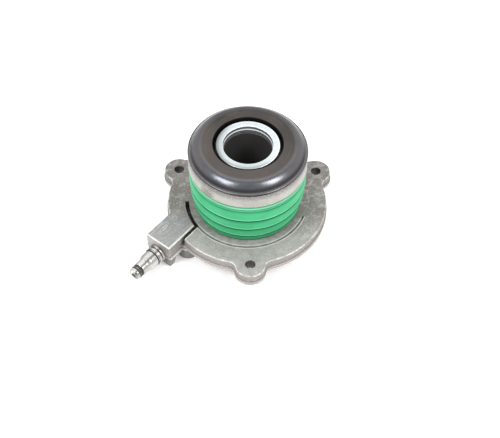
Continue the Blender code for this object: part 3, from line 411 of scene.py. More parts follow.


# %% [markdown]
# ## Cast aluminium
# Die-cast aluminium is a matt grey with a fine grain. Its faces are painted darker and warmer towards
# the rear and darker on the left and beside the boot's foot as shade, and its rims carry painted
# highlights over some rubbing. The block's top was dressed with a file, so fine scratches run along it.
# In the masks below, u runs out along the block and v across it.

# %% Faces and sides of the casting
BLOCK_ANGLE = -128.0
BLOCK_TURN = math.radians(BLOCK_ANGLE)
BOLT_CIRCLE = 52.5
EAR_ANGLES = (-87.0, 30.0, 150.8)


def polar(radius, degrees, height=0.0):
    turn = math.radians(degrees)
    return Vector((radius * math.cos(turn), radius * math.sin(turn), height))


BOLT_PLACES = [polar(BOLT_CIRCLE, angle) for angle in EAR_ANGLES]


class CastingSpot:
    """The places and noises that the casting's masks are made of."""

    def __init__(self, finish):
        self.spot = finish.place()
        self.x, self.y, self.z = finish.parts(self.spot)
        self.u, self.v, _ = finish.parts(finish.place(turn=-BLOCK_TURN))
        self.radius = distance(self.x, self.y)
        self.cloud = finish.noise(self.spot, 0.07, 3.0, 0.55)
        self.patch = finish.noise(self.spot, 0.28, 4.0, 0.6)
        self.side = self.z.until(18.9, 19.25)


def faces_tone_and_painted_shade(finish, at):
    """Painted shade: darker and warmer towards the rear, and darker on the left and beside the boot's
    foot.
    """
    # painted shade: the rear faces are darker and warmer
    tone = finish.mix(at.y.between(-46.0, 2.0), (0.355, 0.335, 0.328), (0.162, 0.145, 0.134))
    tone = tone.tinted(at.cloud.between(0.40, 0.62) * 0.5, (0.29, 0.27, 0.255))
    tone = tone.tinted(at.patch.between(0.46, 0.66) * 0.5, (0.45, 0.445, 0.435))
    tone = tone.tinted(at.patch.until(0.30, 0.48) * 0.4, (0.24, 0.225, 0.21))
    # painted shade on the left side of the flange
    left = at.x.until(-50.0, -28.0) * at.y.band(-30.0, -16.0, 10.0, 30.0)
    tone = tone.tinted(left * 0.35, (0.16, 0.145, 0.135))
    # painted shade on the flange beside the boot's foot
    inner = at.radius.until(37.2, 38.2) * (1.0 - at.y.between(-20.0, 0.0) * 0.6)
    return tone.tinted(inner * 0.15, (0.20, 0.19, 0.18))


def side_faces(at, tone):
    """The pale parting line, painted shade on the sides and the underside, a painted highlight on the
    block's ledge and painted light on its end.
    """
    # painted shade: the side faces are darker than the top
    tone = tone.tinted(at.side * 0.65, (0.235, 0.21, 0.195))
    near_block = at.u.between(44.0, 47.0) * at.v.band(-34.5, -33.5, -12.0, -11.4)
    parting = at.side * at.z.band(11.6, 12.2, 14.2, 14.6) * (1.0 - near_block)
    tone = tone.tinted(parting * 0.55, (0.42, 0.40, 0.385))
    # painted shade on the low sides, the boss and the block's underside
    tone = tone.tinted(at.z.until(10.6, 11.6) * 0.6, (0.14, 0.13, 0.12))
    # painted highlight along the ledge of the block's side rim
    ledge = at.z.band(8.2, 8.6, 9.25, 9.6) * at.u.between(30.0, 34.0)
    tone = tone.tinted(ledge * 0.85, (0.66, 0.65, 0.63))
    # painted light on the block's end face
    end = at.u.between(62.7, 63.0) * at.z.between(9.0, 10.0) * at.v.until(-24.0, -18.0)
    return tone.tinted(end * 0.7, (0.52, 0.51, 0.49))


# %% [markdown]
# Rubbed rims and cut edges carry painted highlights, over some real wear on the rims. The walls of
# the slot, the gap and the bolt holes get hardly any light, so they are painted nearly black as shade.

# %% Bright edges and dark hollows
def bright_edges(at, tone, on_block, filed):
    """Rubbed rims and groove edges with painted highlights, and painted highlights on the block's and
    gap's edges.
    """
    # rubbed wear with a painted highlight along the flange's top rim
    wear_and_painted_highlight = at.z.band(19.15, 19.45, 19.9, 19.99) * (at.patch.between(0.38, 0.62) * 0.85 + 0.15)
    tone = tone.tinted(wear_and_painted_highlight * 0.75, (0.70, 0.69, 0.67))
    # painted highlights along the cut edges of the block and its gap
    block_edge = on_block * at.v.between(-14.2, -13.8) + filed * at.u.between(61.9, 62.3)
    gap_edge = at.v.band(-10.8, -10.6, -10.1, -9.8) * at.u.band(36.5, 37.5, 50.5, 51.5)
    cut_edges = (block_edge + gap_edge).clamped() * at.z.between(19.3, 19.6)
    tone = tone.tinted(cut_edges * 0.7, (0.68, 0.67, 0.65))
    # painted highlights, with some wear, on the rims beside the groove
    beside_groove = at.radius.band(37.1, 37.5, 40.0, 40.4) * at.z.between(19.6, 19.9)
    lines = beside_groove * at.y.until(-16.0, -12.0) * at.x.between(-33.0, -30.0)
    return tone.tinted(lines * (0.4 + at.patch * 0.6), (0.62, 0.61, 0.59))


def dark_slots(at, tone):
    # painted shade: the slot and the gap's wall are nearly black
    in_slot = at.radius.band(37.6, 37.9, 40.7, 41.0) * at.z.band(13.0, 13.8, 18.8, 19.5)
    gap_wall = at.v.band(-13.2, -12.9, -10.6, -10.3) * at.u.band(35.5, 36.5, 46.0, 53.0)
    gap_wall = gap_wall * at.z.band(9.0, 11.0, 18.8, 19.5)
    return tone.tinted((in_slot + gap_wall * 0.9).clamped() * 0.93, (0.018, 0.022, 0.018))


def dark_holes(at, tone):
    for centre in BOLT_PLACES:
        away = distance(at.x - centre.x, at.y - centre.y)
        # painted shade inside each bolt hole
        drilled = away.until(3.5, 3.7) * at.z.until(19.3, 19.7)
        tone = tone.tinted(drilled * 0.85, (0.035, 0.032, 0.030))
    return tone


# %% [markdown]
# The layers go on in this order: faces, sides, the filed top with its scratches, edges and slots,
# the grain over all of them, and the bolt holes.

# %% Cast aluminium
def cast_aluminium(finish):
    at = CastingSpot(finish)
    tone = side_faces(at, faces_tone_and_painted_shade(finish, at))
    along = finish.place(turn=-BLOCK_TURN, scale=(0.09, 1.3, 1.0))
    scratch = finish.noise(along, 1.2, 4.0, 0.7)
    on_block = at.u.between(36.0, 40.0) * at.v.band(-34.0, -33.0, -13.4, -12.6)
    filed = on_block * (1.0 - at.side)
    tone = tone.tinted(filed * 0.7, (0.205, 0.21, 0.215))
    rubbed = 0.35 + 0.65 * at.v.until(-30.0, -20.0)
    tone = tone.tinted(filed * rubbed * scratch.between(0.50, 0.68) * 0.85, (0.66, 0.67, 0.68))
    tone = dark_slots(at, bright_edges(at, tone, on_block, filed))

    grain = finish.noise(at.spot, 0.95, 3.0, 0.65)
    tone = tone.tinted(grain.until(0.30, 0.46) * 0.4, (0.15, 0.14, 0.135))
    tone = tone.tinted(grain.between(0.54, 0.70) * 0.5, (0.60, 0.59, 0.57))
    relief = grain * 0.7 + at.patch * 0.6 + filed * scratch * 0.6
    return {
        "Base Color": dark_holes(at, tone),
        "Metallic": 0.3,
        "Roughness": 0.46 + at.patch * 0.16,
        "Normal": finish.bump(relief, 0.00022, 0.6),
    }


CAST_ALUMINIUM = surface("cast_aluminium_finish", cast_aluminium)

# %% [markdown]
# ## Flange outline
# The flange is a disc with three ears. A small concave curve joins each ear to the disc, and its
# centre is the third corner of a triangle whose sides are known, so the law of cosines gives the
# angles. Each arc is a single vertex that is spun round its centre.

# %% Flange outline
FLANGE_RADIUS = 51.8
EAR_RADIUS = 9.6
NECK_RADIUS = 5.0
BOLT_HOLE_RADIUS = 3.35
FLANGE_FOOT = FLANGE_TOP - 8.0
PARTING_HEIGHT = 2.4
PARTING_STEP = 0.6
CHORD = 0.9


def corner_angle(near, other, opposite):
    """A triangle's angle in degrees between two sides, from the law of cosines."""
    return math.degrees(math.acos((near ** 2 + other ** 2 - opposite ** 2) / (2 * near * other)))


def sweep_point(shape, point, centre, degrees):
    """Spins one vertex round a centre and returns the last vertex of the arc."""
    radius = (point.co - centre).length
    steps = max(4, round(abs(math.radians(degrees)) * radius / CHORD))
    swept = bmesh.ops.spin(
        shape, geom=[point], cent=centre, axis=(0, 0, 1), angle=math.radians(degrees), steps=steps)
    return [item for item in swept["geom_last"] if isinstance(item, bmesh.types.BMVert)][0]


def flange_outline(shape, grow, height):
    """The face of the flange at one height, with its outline moved outwards by grow."""
    disc, ear, neck = FLANGE_RADIUS + grow, EAR_RADIUS + grow, NECK_RADIUS - grow
    spread = corner_angle(disc + neck, BOLT_CIRCLE, ear + neck)
    lean = 180.0 - corner_angle(ear + neck, BOLT_CIRCLE, disc + neck)
    point = shape.verts.new(polar(disc, EAR_ANGLES[0] - spread, height))
    for index, angle in enumerate(EAR_ANGLES):
        following = EAR_ANGLES[(index + 1) % 3] + (360.0 if index == 2 else 0.0)
        point = sweep_point(shape, point, polar(disc + neck, angle - spread, height), -(lean - spread))
        point = sweep_point(shape, point, polar(BOLT_CIRCLE, angle, height), 2 * lean)
        point = sweep_point(shape, point, polar(disc + neck, angle + spread, height), -(lean - spread))
        point = sweep_point(shape, point, Vector((0.0, 0.0, height)), following - angle - 2 * spread)
    bmesh.ops.remove_doubles(shape, verts=shape.verts[:], dist=NEAR)
    return bmesh.ops.contextual_create(shape, geom=shape.edges[:])["faces"][0]


def lift(shape, face, height, keep_foot=False):
    """Extrudes a face straight up and returns the new top face."""
    raised = bmesh.ops.extrude_face_region(
        shape, geom=[face, *face.edges], use_keep_orig=keep_foot)["geom"]
    points = [item for item in raised if isinstance(item, bmesh.types.BMVert)]
    bmesh.ops.translate(shape, vec=(0, 0, height), verts=points)
    return [item for item in raised if isinstance(item, bmesh.types.BMFace)][0]


# %% [markdown]
# ## Housing
# A die casting is drawn from two moulds, which meet in a line round the flange: the lower half is a
# little wider there. So the plate is lifted from its outline in two steps.

# %% Flange plate
def flange_plate():
    shape = bmesh.new()
    foot = flange_outline(shape, PARTING_STEP, FLANGE_FOOT)
    step = lift(shape, foot, PARTING_HEIGHT, keep_foot=True)
    bmesh.ops.inset_region(shape, faces=[step], thickness=PARTING_STEP, use_even_offset=True)
    top = lift(shape, step, FLANGE_TOP - FLANGE_FOOT - PARTING_HEIGHT)
    bmesh.ops.recalc_face_normals(shape, faces=shape.faces[:])
    bevel_edges(shape, list(top.edges), 0.7)
    return shape


# %% [markdown]
# The core, the inlet block and the boss are separate shapes that Booleans join, and the slot, the gap
# and the holes are cut. All of them are boxes, rods and bands, each made by one operator or one spin.

# %% Boxes, rods and bands, as joined or cutting shapes
BLOCK_FRAME = Matrix.Rotation(BLOCK_TURN, 4, "Z")
BLOCK_START = 19.5
BLOCK_REACH = 63.1
BLOCK_RIGHT = -12.95
BLOCK_LEFT = -32.15
PORT_ACROSS = -22.3
PORT_HEIGHT = 9.7


def block_shape(along, across_it, height, bevel=0.0):
    """A box in the inlet block's own directions: along it, across it and up."""
    shape = bmesh.new()
    bmesh.ops.create_cube(shape, size=1.0)
    spans = (along, across_it, height)
    bmesh.ops.scale(shape, vec=[high - low for low, high in spans], verts=shape.verts[:])
    bmesh.ops.translate(shape, vec=[(low + high) / 2 for low, high in spans], verts=shape.verts[:])
    if bevel:
        bevel_edges(shape, shape.edges[:], bevel)
    bmesh.ops.transform(shape, matrix=BLOCK_FRAME, verts=shape.verts[:])
    return shape


def rod_shape(radius, low, high, centre=(0.0, 0.0), sides=48):
    shape = bmesh.new()
    bmesh.ops.create_cone(
        shape, cap_ends=True, segments=sides, radius1=radius, radius2=radius, depth=high - low)
    bmesh.ops.translate(shape, vec=(centre[0], centre[1], (low + high) / 2), verts=shape.verts[:])
    return shape


def sector_shape(inner, outer, low, high, start, end):
    """A band along an arc: one upright face, spun from its start to its end angle."""
    shape = bmesh.new()
    corners = [(inner, low), (outer, low), (outer, high), (inner, high)]
    points = [shape.verts.new(polar(radius, start, height)) for radius, height in corners]
    shape.faces.new(points)
    everything = shape.verts[:] + shape.edges[:] + shape.faces[:]
    turn = math.radians(end - start)
    steps = max(8, round(turn * outer / CHORD))
    bmesh.ops.spin(
        shape, geom=everything, cent=(0, 0, 0), axis=(0, 0, 1), angle=turn, steps=steps)
    bmesh.ops.recalc_face_normals(shape, faces=shape.faces[:])
    return shape


# %% [markdown]
# A shape that only joins or cuts is kept out of the render. Each piece lists its own Boolean steps.

# %% Boolean steps
def tool_object(shape, name, place=None):
    """A hidden shape that a Boolean modifier uses."""
    tool = settle(shape, name, None, CAST_ALUMINIUM, place=place)
    tool.hide_render = True
    tool.display_type = "WIRE"
    return tool


def joined(piece, tool, operation):
    """Adds one Boolean step to a piece."""
    step = piece.modifiers.new(tool.name, "BOOLEAN")
    step.operation = operation
    step.solver = "EXACT"
    step.object = tool


# %% [markdown]
# The core is the hub below the flange and the cylinder's wall above it, with the piston's chamber
# between the wall and the sleeve.

# %% Core of the housing
HUB_RADIUS = 31.0
WALL_RADIUS = 25.5
CHAMBER_RADIUS = 22.3
WALL_TOP = 42.5

core = spin_section([
    # the hub's foot and side
    (20.5, 0.0), (HUB_RADIUS, 0.0), (HUB_RADIUS, FLANGE_TOP - 1.0),
    # the cylinder's wall, with both rims chamfered
    (WALL_RADIUS, FLANGE_TOP - 1.0), (WALL_RADIUS, WALL_TOP - 0.8), (WALL_RADIUS - 0.8, WALL_TOP),
    (CHAMBER_RADIUS + 0.8, WALL_TOP), (CHAMBER_RADIUS, WALL_TOP - 0.8),
    # the chamber's floor and the seats of the sleeve's ring, the sleeve and the shaft seal
    (CHAMBER_RADIUS, 8.0), (17.3, 8.0), (17.3, 7.1), (19.3, 7.1), (19.3, 5.5), (20.5, 5.5),
])
round_rim(core, HUB_RADIUS, 0.0, 0.6)

# %% [markdown]
# The block is open underneath, with a thin rim along its sides and a foot at its end. A slot and a
# gap part its root from the flange, and meet in a corner. The port is a frame of its own at the
# block's end, whose Z axis points out of it.

# %% Join the housing
PORT_PLACE = (
    BLOCK_FRAME @ Matrix.Translation((BLOCK_REACH, PORT_ACROSS, PORT_HEIGHT))
    @ Matrix.Rotation(math.pi / 2, 4, "Y"))
BLOCK_UNDER = 8.2
FOOT_TAPER = 0.10
SLOT_RADIUS = 39.3
SLOT_HALF = 1.3
ABOVE = FLANGE_TOP + 1.0
BELOW = FLANGE_FOOT - 1.0
SLOT_CORNER = BLOCK_ANGLE + math.degrees(math.asin((BLOCK_RIGHT + 1.2) / SLOT_RADIUS))

plate = flange_plate()
hole = rod_shape(WALL_RADIUS - 1.0, FLANGE_FOOT - 2.0, FLANGE_TOP + 2.0, sides=96)
housing = settle(
    core, "housing_casting", "cylinder_body", CAST_ALUMINIUM, ["housing"])
housing.modifiers.clear()  # even shading has to come last, so it is added again below

flange_tool = tool_object(plate, "flange_plate")
joined(flange_tool, tool_object(hole, "flange_hole"), "DIFFERENCE")
gap_start = (SLOT_RADIUS - SLOT_HALF) * math.cos(math.radians(SLOT_CORNER) - BLOCK_TURN)
gap = block_shape((gap_start, 56.0), (BLOCK_RIGHT - 1.0, BLOCK_RIGHT + 2.4), (BELOW, ABOVE))
joined(housing, flange_tool, "UNION")
joined(housing, tool_object(gap, "block_gap"), "DIFFERENCE")

upper_block = block_shape(
    (BLOCK_START, BLOCK_REACH), (BLOCK_LEFT, BLOCK_RIGHT), (BLOCK_UNDER, FLANGE_TOP), 0.8)
side_rim = block_shape(
    (BLOCK_START, BLOCK_REACH - 0.5), (BLOCK_LEFT - 0.8, BLOCK_RIGHT + 0.8),
    (BLOCK_UNDER - 0.6, BLOCK_UNDER + 1.0), 0.45)
end_foot = block_shape(
    (57.0, BLOCK_REACH - 0.8), (BLOCK_LEFT - 0.4, BLOCK_RIGHT + 0.4), (0.0, BLOCK_UNDER + 0.2), 0.5)
foot_middle = BLOCK_FRAME @ Vector((59.6, PORT_ACROSS, 0.0))
for vertex in end_foot.verts:
    if vertex.co.z < 3.0:
        vertex.co += (foot_middle - vertex.co.xy.to_3d()) * FOOT_TAPER
belly = rod_shape(7.3, BLOCK_START - BLOCK_REACH, -1.0, sides=64)
boss_at = BLOCK_FRAME @ Vector((44.8, -13.2, 0.0))
boss = rod_shape(6.5, 0.0, FLANGE_FOOT + 1.0, (boss_at.x, boss_at.y))
for shape, name in (
        (side_rim, "block_rim"), (end_foot, "block_foot"), (upper_block, "block_body"),
        (boss, "locating_boss")):
    joined(housing, tool_object(shape, name), "UNION")
joined(housing, tool_object(belly, "block_belly", PORT_PLACE), "UNION")

# %% [markdown]
# Rods cut the holes and bands cut the slots. A shallow groove carries the slot's arc on round the
# boot's foot. The nipple's socket, and the gallery that leads the fluid from it to the chamber, lie
# in the port's frame.

# %% Cut the housing
SLOT_START = -177.5
SLOT_DEPTH = 6.0
GROOVE_END = -19.0
GROOVE_DEPTH = 0.9

for index, centre in enumerate(BOLT_PLACES):
    drill = rod_shape(BOLT_HOLE_RADIUS, BELOW, ABOVE, (centre.x, centre.y))
    joined(housing, tool_object(drill, f"bolt_drill_{index + 1}"), "DIFFERENCE")
slot = sector_shape(
    SLOT_RADIUS - SLOT_HALF, SLOT_RADIUS + SLOT_HALF, FLANGE_TOP - SLOT_DEPTH, ABOVE, SLOT_START,
    SLOT_CORNER)
joined(housing, tool_object(slot, "arc_slot"), "DIFFERENCE")
groove = sector_shape(38.1, 39.4, FLANGE_TOP - GROOVE_DEPTH, ABOVE, SLOT_CORNER, GROOVE_END)
joined(housing, tool_object(groove, "face_groove"), "DIFFERENCE")
gallery = rod_shape(1.6, 2.0 - BLOCK_REACH, -10.0, sides=24)
joined(housing, tool_object(gallery, "gallery_drill", PORT_PLACE), "DIFFERENCE")
socket = rod_shape(5.3, -11.0, 1.0)
joined(housing, tool_object(socket, "nipple_socket", PORT_PLACE), "DIFFERENCE")
hub_groove = spin_section([(24.45, -1.0), (27.05, -1.0), (27.05, 2.2), (24.45, 2.2)])
joined(housing, tool_object(hub_groove, "hub_groove"), "DIFFERENCE")

# %% [markdown]
# A casting has no sharp corners, so every corner that the Booleans left is rounded a little.

# %% Soften the casting
soften = housing.modifiers.new("soft_edges", "BEVEL")
soften.width = 0.22 * MM
soften.segments = 2
soften.limit_method = "ANGLE"
soften.angle_limit = math.radians(42.0)
soften.miter_outer = "MITER_ARC"
shade_evenly(housing)
print("housing", len(housing.modifiers), "steps")

# %% [markdown]
# ## Plated steel
# The guide sleeve and the nipple are bright plated. A plated surface is nearly white under a white
# studio, with a slight unevenness. The sleeve's bore, left and front are painted dark as shade, and its
# head's rims and the cone below its mouth carry painted highlights.

# %% Plated steel
BORE_RADIUS = 15.2
MOUTH_RADIUS = 15.8
HEAD_RADIUS = 20.1
FINE_GROOVES = (4.1, 5.4)


def plated(finish):
    spot = finish.place()
    cloud = finish.noise(spot, 0.35, 3.0, 0.6)
    fine = finish.noise(spot, 3.0, 2.0, 0.5)
    tone = finish.mix(cloud.between(0.35, 0.7), (0.86, 0.90, 0.90), (0.74, 0.78, 0.79))
    return {
        "Base Color": tone,
        "Metallic": 0.9,
        "Roughness": 0.20 + cloud * 0.12,
        "Normal": finish.bump(fine, 0.00003, 0.25),
    }


def sleeve_steel(finish):
    spot = finish.place()
    x, y, z = finish.parts(spot)
    radius = distance(x, y)
    cloud = finish.noise(spot, 0.35, 3.0, 0.6)
    within = radius.until(MOUTH_RADIUS + 0.04, MOUTH_RADIUS + 0.10)
    bright = finish.mix(cloud.between(0.35, 0.7), (0.62, 0.675, 0.685), (0.55, 0.61, 0.62))
    # painted shade on the left and front of the sleeve
    painted_shade_side = x.until(-19.0, -8.0) + y.until(-18.5, -10.0) * 0.8
    bright = bright.tinted(painted_shade_side.clamped() * 0.85, (0.38, 0.43, 0.435))
    # painted highlights on the head's rims
    rims = radius.between(19.0, 19.5) + radius.until(16.0, 16.3)
    bright = bright.tinted(rims.clamped() * 0.8, (0.86, 0.90, 0.90))
    # painted shade on the outer rim at the left and front
    outer = radius.between(17.4, 19.8)
    bright = bright.tinted(painted_shade_side.clamped() * outer * 0.88, (0.13, 0.135, 0.135))
    deep = SLEEVE_TOP - z
    # painted shade inside the mouth and the bore
    tone = finish.mix(within * deep.between(0.4, 0.9), bright, (0.11, 0.13, 0.135))
    # painted highlight on the cone below the mouth
    tone = tone.tinted(within * deep.between(2.3, 2.5), (0.95, 0.97, 0.98))
    # deeper painted shade further down the bore
    tone = tone.tinted(within * deep.between(2.95, 3.2), (0.052, 0.050, 0.049))
    for start in FINE_GROOVES:
        fine = deep.band(start - 0.05, start + 0.05, start + 0.35, start + 0.45)
        tone = tone.tinted(within * fine * 0.55, (0.30, 0.30, 0.30))
    inside = within * deep.between(2.95, 3.2)
    return {
        "Base Color": tone,
        "Metallic": 0.85 - inside * 0.5 - (within - inside) * 0.65,
        "Roughness": 0.26 + cloud * 0.1 + inside * 0.3,
    }


PLATED_STEEL = surface("plated_steel_finish", plated)
SLEEVE_STEEL = surface("sleeve_steel_finish", sleeve_steel)

# %% [markdown]
# ## Guide sleeve
# The sleeve's head is a flat ring with nearly square rims. Its mouth is a little wider than the bore,
# so light catches a bright cone below it, and two fine turned lines follow further down.

# %% Guide sleeve
sleeve_section = [
    (MOUTH_RADIUS, SLEEVE_TOP), (HEAD_RADIUS, SLEEVE_TOP), (HEAD_RADIUS, SLEEVE_TOP - 2.3),
    (HEAD_RADIUS - 0.5, SLEEVE_TOP - 2.8), (17.0, SLEEVE_TOP - 2.8), (17.0, 5.2), (19.9, 5.2),
    (19.9, 4.0), (BORE_RADIUS, 4.0),
]
for start in reversed(FINE_GROOVES):
    sleeve_section += [
        (BORE_RADIUS, SLEEVE_TOP - start - 0.4), (BORE_RADIUS + 0.12, SLEEVE_TOP - start - 0.3),
        (BORE_RADIUS + 0.12, SLEEVE_TOP - start - 0.1), (BORE_RADIUS, SLEEVE_TOP - start),
    ]
sleeve_section += [(BORE_RADIUS, SLEEVE_TOP - 3.3), (MOUTH_RADIUS - 0.05, SLEEVE_TOP - 2.5)]
sleeve = spin_section(sleeve_section)
round_rim(sleeve, MOUTH_RADIUS, SLEEVE_TOP, 0.25)
round_rim(sleeve, HEAD_RADIUS, SLEEVE_TOP, 0.4)
settle(
    sleeve, "sleeve_tube", "cylinder_body", SLEEVE_STEEL, ["guide_sleeve"], sharp=40.0)

# %% [markdown]
# ## Contact ring
# The ring's flat part is ground and has rubbed brown, and its round shoulder is polished and blue.
# The shoulder is painted darkest at its foot as shade, and a thin painted highlight follows the lip. The
# flat is painted lighter at the front and left and darker at the right rear, with a painted reflection
# round its edge, and the shoulder's sides carry painted highlights, the bore and the lip's underside
# painted shade.

# %% Ring steel
def ring_steel(finish):
    spot = finish.place()
    x, y, z = finish.parts(spot)
    radius = distance(x, y)
    cloud = finish.noise(spot, 0.09, 3.0, 0.6)
    flat = radius.until(28.6, 31.8)
    rings = finish.node("ShaderNodeCombineXYZ", {}, [radius * 2.4, cloud * 2.0, 0.0])
    ripple = finish.noise(rings, 1.0, 3.0, 0.6)
    speck = finish.noise(spot, 0.9, 3.0, 0.7)
    # painted light: the flat is lighter towards the front
    front = y.until(-30.0, 25.0)
    brown = finish.mix(cloud.between(0.3, 0.7), (0.038, 0.035, 0.033), (0.060, 0.053, 0.049))
    brown = brown.tinted(front * 0.45, (0.105, 0.095, 0.088))
    brown = brown.tinted(ripple.between(0.45, 0.70) * 0.6, (0.115, 0.10, 0.088))
    brown = brown.tinted(speck.between(0.58, 0.72) * 0.3, (0.16, 0.145, 0.13))
    # painted light on the left, and painted shade at the right rear
    brown = brown.tinted(x.until(-34.0, -18.0) * 0.5, (0.125, 0.105, 0.092))
    brown = brown.tinted(x.between(14.0, 26.0) * (1.0 - front) * 0.5, (0.038, 0.035, 0.033))
    # painted reflection: a soft lighter ring round the flat's edge
    painted_reflection_ring = radius.band(28.4, 29.6, 30.0, 31.0)
    brown = brown.tinted(painted_reflection_ring * 0.14, (0.17, 0.155, 0.145))
    blue = finish.mix(cloud.between(0.35, 0.7), (0.076, 0.082, 0.096), (0.108, 0.108, 0.116))
    tone = finish.mix(flat, blue, brown)
    # painted highlights on the shoulder's left and right
    sides = (x.between(18.0, 32.0) + x.until(-32.0, -18.0)).clamped() * (1.0 - flat)
    tone = tone.tinted(sides * 0.55, (0.165, 0.155, 0.155))
    # painted shade at the shoulder's foot
    foot = radius.band(34.2, 35.8, 36.2, 36.45)
    tone = tone.tinted(foot * 0.8, (0.022, 0.021, 0.022))
    # painted highlight along the lip
    line = radius.band(36.3, 36.5, 37.3, 37.5) * z.between(FACE - 6.0, FACE - 5.7)
    tone = tone.tinted(line * 0.55, (0.12, 0.112, 0.11))
    # painted shade in the bore
    bore = radius.until(22.25, 22.45)
    tone = tone.tinted(bore * 0.9, (0.012, 0.011, 0.011))
    # painted shade under the lip
    low = z.until(FACE - 6.1, FACE - 5.8) * radius.between(37.0, 37.3)
    tone = tone.tinted(low, (0.026, 0.023, 0.022))
    return {
        "Base Color": tone,
        "Metallic": 0.75,
        "Roughness": 0.21 + flat * 0.26 + low * 0.2 + cloud * 0.06,
        "Normal": finish.bump(ripple * flat + speck * flat * 0.5, 0.00007, 0.4),
    }


RING_STEEL = surface("bearing_steel_finish", ring_steel)

# %% [markdown]
# The shoulder's section falls away as a parabola, slowly at first. Below it a thin rounded lip stands
# out over the carrier.

# %% Contact ring
FLAT_END = 29.4
SHOULDER_WIDTH = 7.4
SHOULDER_DROP = 5.5
SHOULDER_STEPS = 16

shoulder = []
for step in range(SHOULDER_STEPS + 1):
    share = step / SHOULDER_STEPS
    shoulder.append((FLAT_END + SHOULDER_WIDTH * share, FACE - SHOULDER_DROP * share ** 2))
ring = spin_section([
    (22.1, FACE - 0.25), (22.3, FACE), *shoulder,
    # the rounded lip
    (37.2, FACE - 5.52), (37.5, FACE - 5.68), (37.72, FACE - 6.05), (37.75, FACE - 6.55),
    (37.5, FACE - 6.9), (35.6, FACE - 6.9),
    # the hollow side, and the skirt round the bore
    (35.4, FACE - 5.8), (33.5, FACE - 3.9), (30.6, FACE - 3.2), (25.7, FACE - 5.2),
    (25.6, FACE - 9.4), (22.1, FACE - 9.4),
])
settle(
    ring, "bearing_ring", "turning_ring", RING_STEEL, ["contact_ring"], sharp=38.0)

# %% [markdown]
# ## Bearing carrier
# The pale band is a pressed steel cup. Painted shade darkens it under the ring's lip and along its lower
# rim, and handling has left a brown smudge at its lower left.

# %% Carrier sheet
def carrier_sheet(finish):
    spot = finish.place()
    x, y, z = finish.parts(spot)
    cloud = finish.noise(spot, 0.12, 3.0, 0.6)
    streak = finish.noise(finish.place(scale=(0.25, 0.25, 2.2)), 1.0, 3.0, 0.6)
    tone = finish.mix(cloud.between(0.35, 0.7), (0.36, 0.35, 0.325), (0.44, 0.43, 0.40))
    tone = tone.tinted(streak.between(0.5, 0.75) * 0.4, (0.36, 0.34, 0.32))
    away = distance(x + 24.5, z - CARRIER_FOOT - 2.6)
    smudge = (away + cloud * 3.0).until(3.2, 7.5) * y.until(-25.0, -20.0)
    tone = tone.tinted(smudge * 0.75, (0.20, 0.175, 0.165))
    # painted shade under the ring's lip, and a wider painted shadow below it
    under_lip = z.between(CARRIER_TOP - 3.6, CARRIER_TOP - 1.0)
    tone = tone.tinted(under_lip * 0.75, (0.13, 0.12, 0.115))
    shadowed = z.between(CARRIER_TOP - 6.0, CARRIER_TOP - 1.0)
    tone = tone.tinted(shadowed * 0.7, (0.22, 0.205, 0.195))
    speck = finish.noise(spot, 0.8, 3.0, 0.7)
    tone = tone.tinted(speck.between(0.52, 0.68) * 0.45, (0.60, 0.585, 0.55))
    # painted shade along the lower rim, where the boot meets it
    seam = z.until(CARRIER_FOOT + 0.25, CARRIER_FOOT + 0.7)
    tone = tone.tinted(seam * 0.85, (0.12, 0.115, 0.105))
    return {"Base Color": tone, "Metallic": 0.35, "Roughness": 0.38 + streak * 0.12}


CARRIER_SHEET = surface("carrier_sheet_finish", carrier_sheet)

# %% [markdown]
# The cup has a web across it that holds the bearing up, with a hole for the sleeve. A press leaves
# soft edges.

# %% Bearing carrier
CUP_RADIUS = 37.6
SHEET = 1.6
CUP_INSIDE = CUP_RADIUS - SHEET
WEB_HOLE = 20.9

carrier = spin_section([
    (CUP_RADIUS, CARRIER_TOP), (CUP_RADIUS, CARRIER_FOOT), (CUP_INSIDE, CARRIER_FOOT),
    (CUP_INSIDE, WEB_TOP - SHEET), (WEB_HOLE, WEB_TOP - SHEET), (WEB_HOLE, WEB_TOP),
    (CUP_INSIDE, WEB_TOP), (CUP_INSIDE, CARRIER_TOP),
])
round_rim(carrier, CUP_RADIUS, CARRIER_TOP, 0.5)
round_rim(carrier, CUP_RADIUS, CARRIER_FOOT, 0.45)
settle(carrier, "carrier_cup", "bearing_slide", CARRIER_SHEET, ["bearing_carrier"])

# %% [markdown]
# ## Rubber boot
# The boot folds up as the bearing slides down. Each fold is painted darkest in its crease as shade and
# has a painted highlight on its edge above it. The height above the boot's foot is kept in the mesh as
# an attribute, and the tones are placed on their folds by it.

# %% Boot rubber
FOLD_PLACES = (5.3, 13.9, 23.1, 32.4)
DEEP_FOLDS = 3


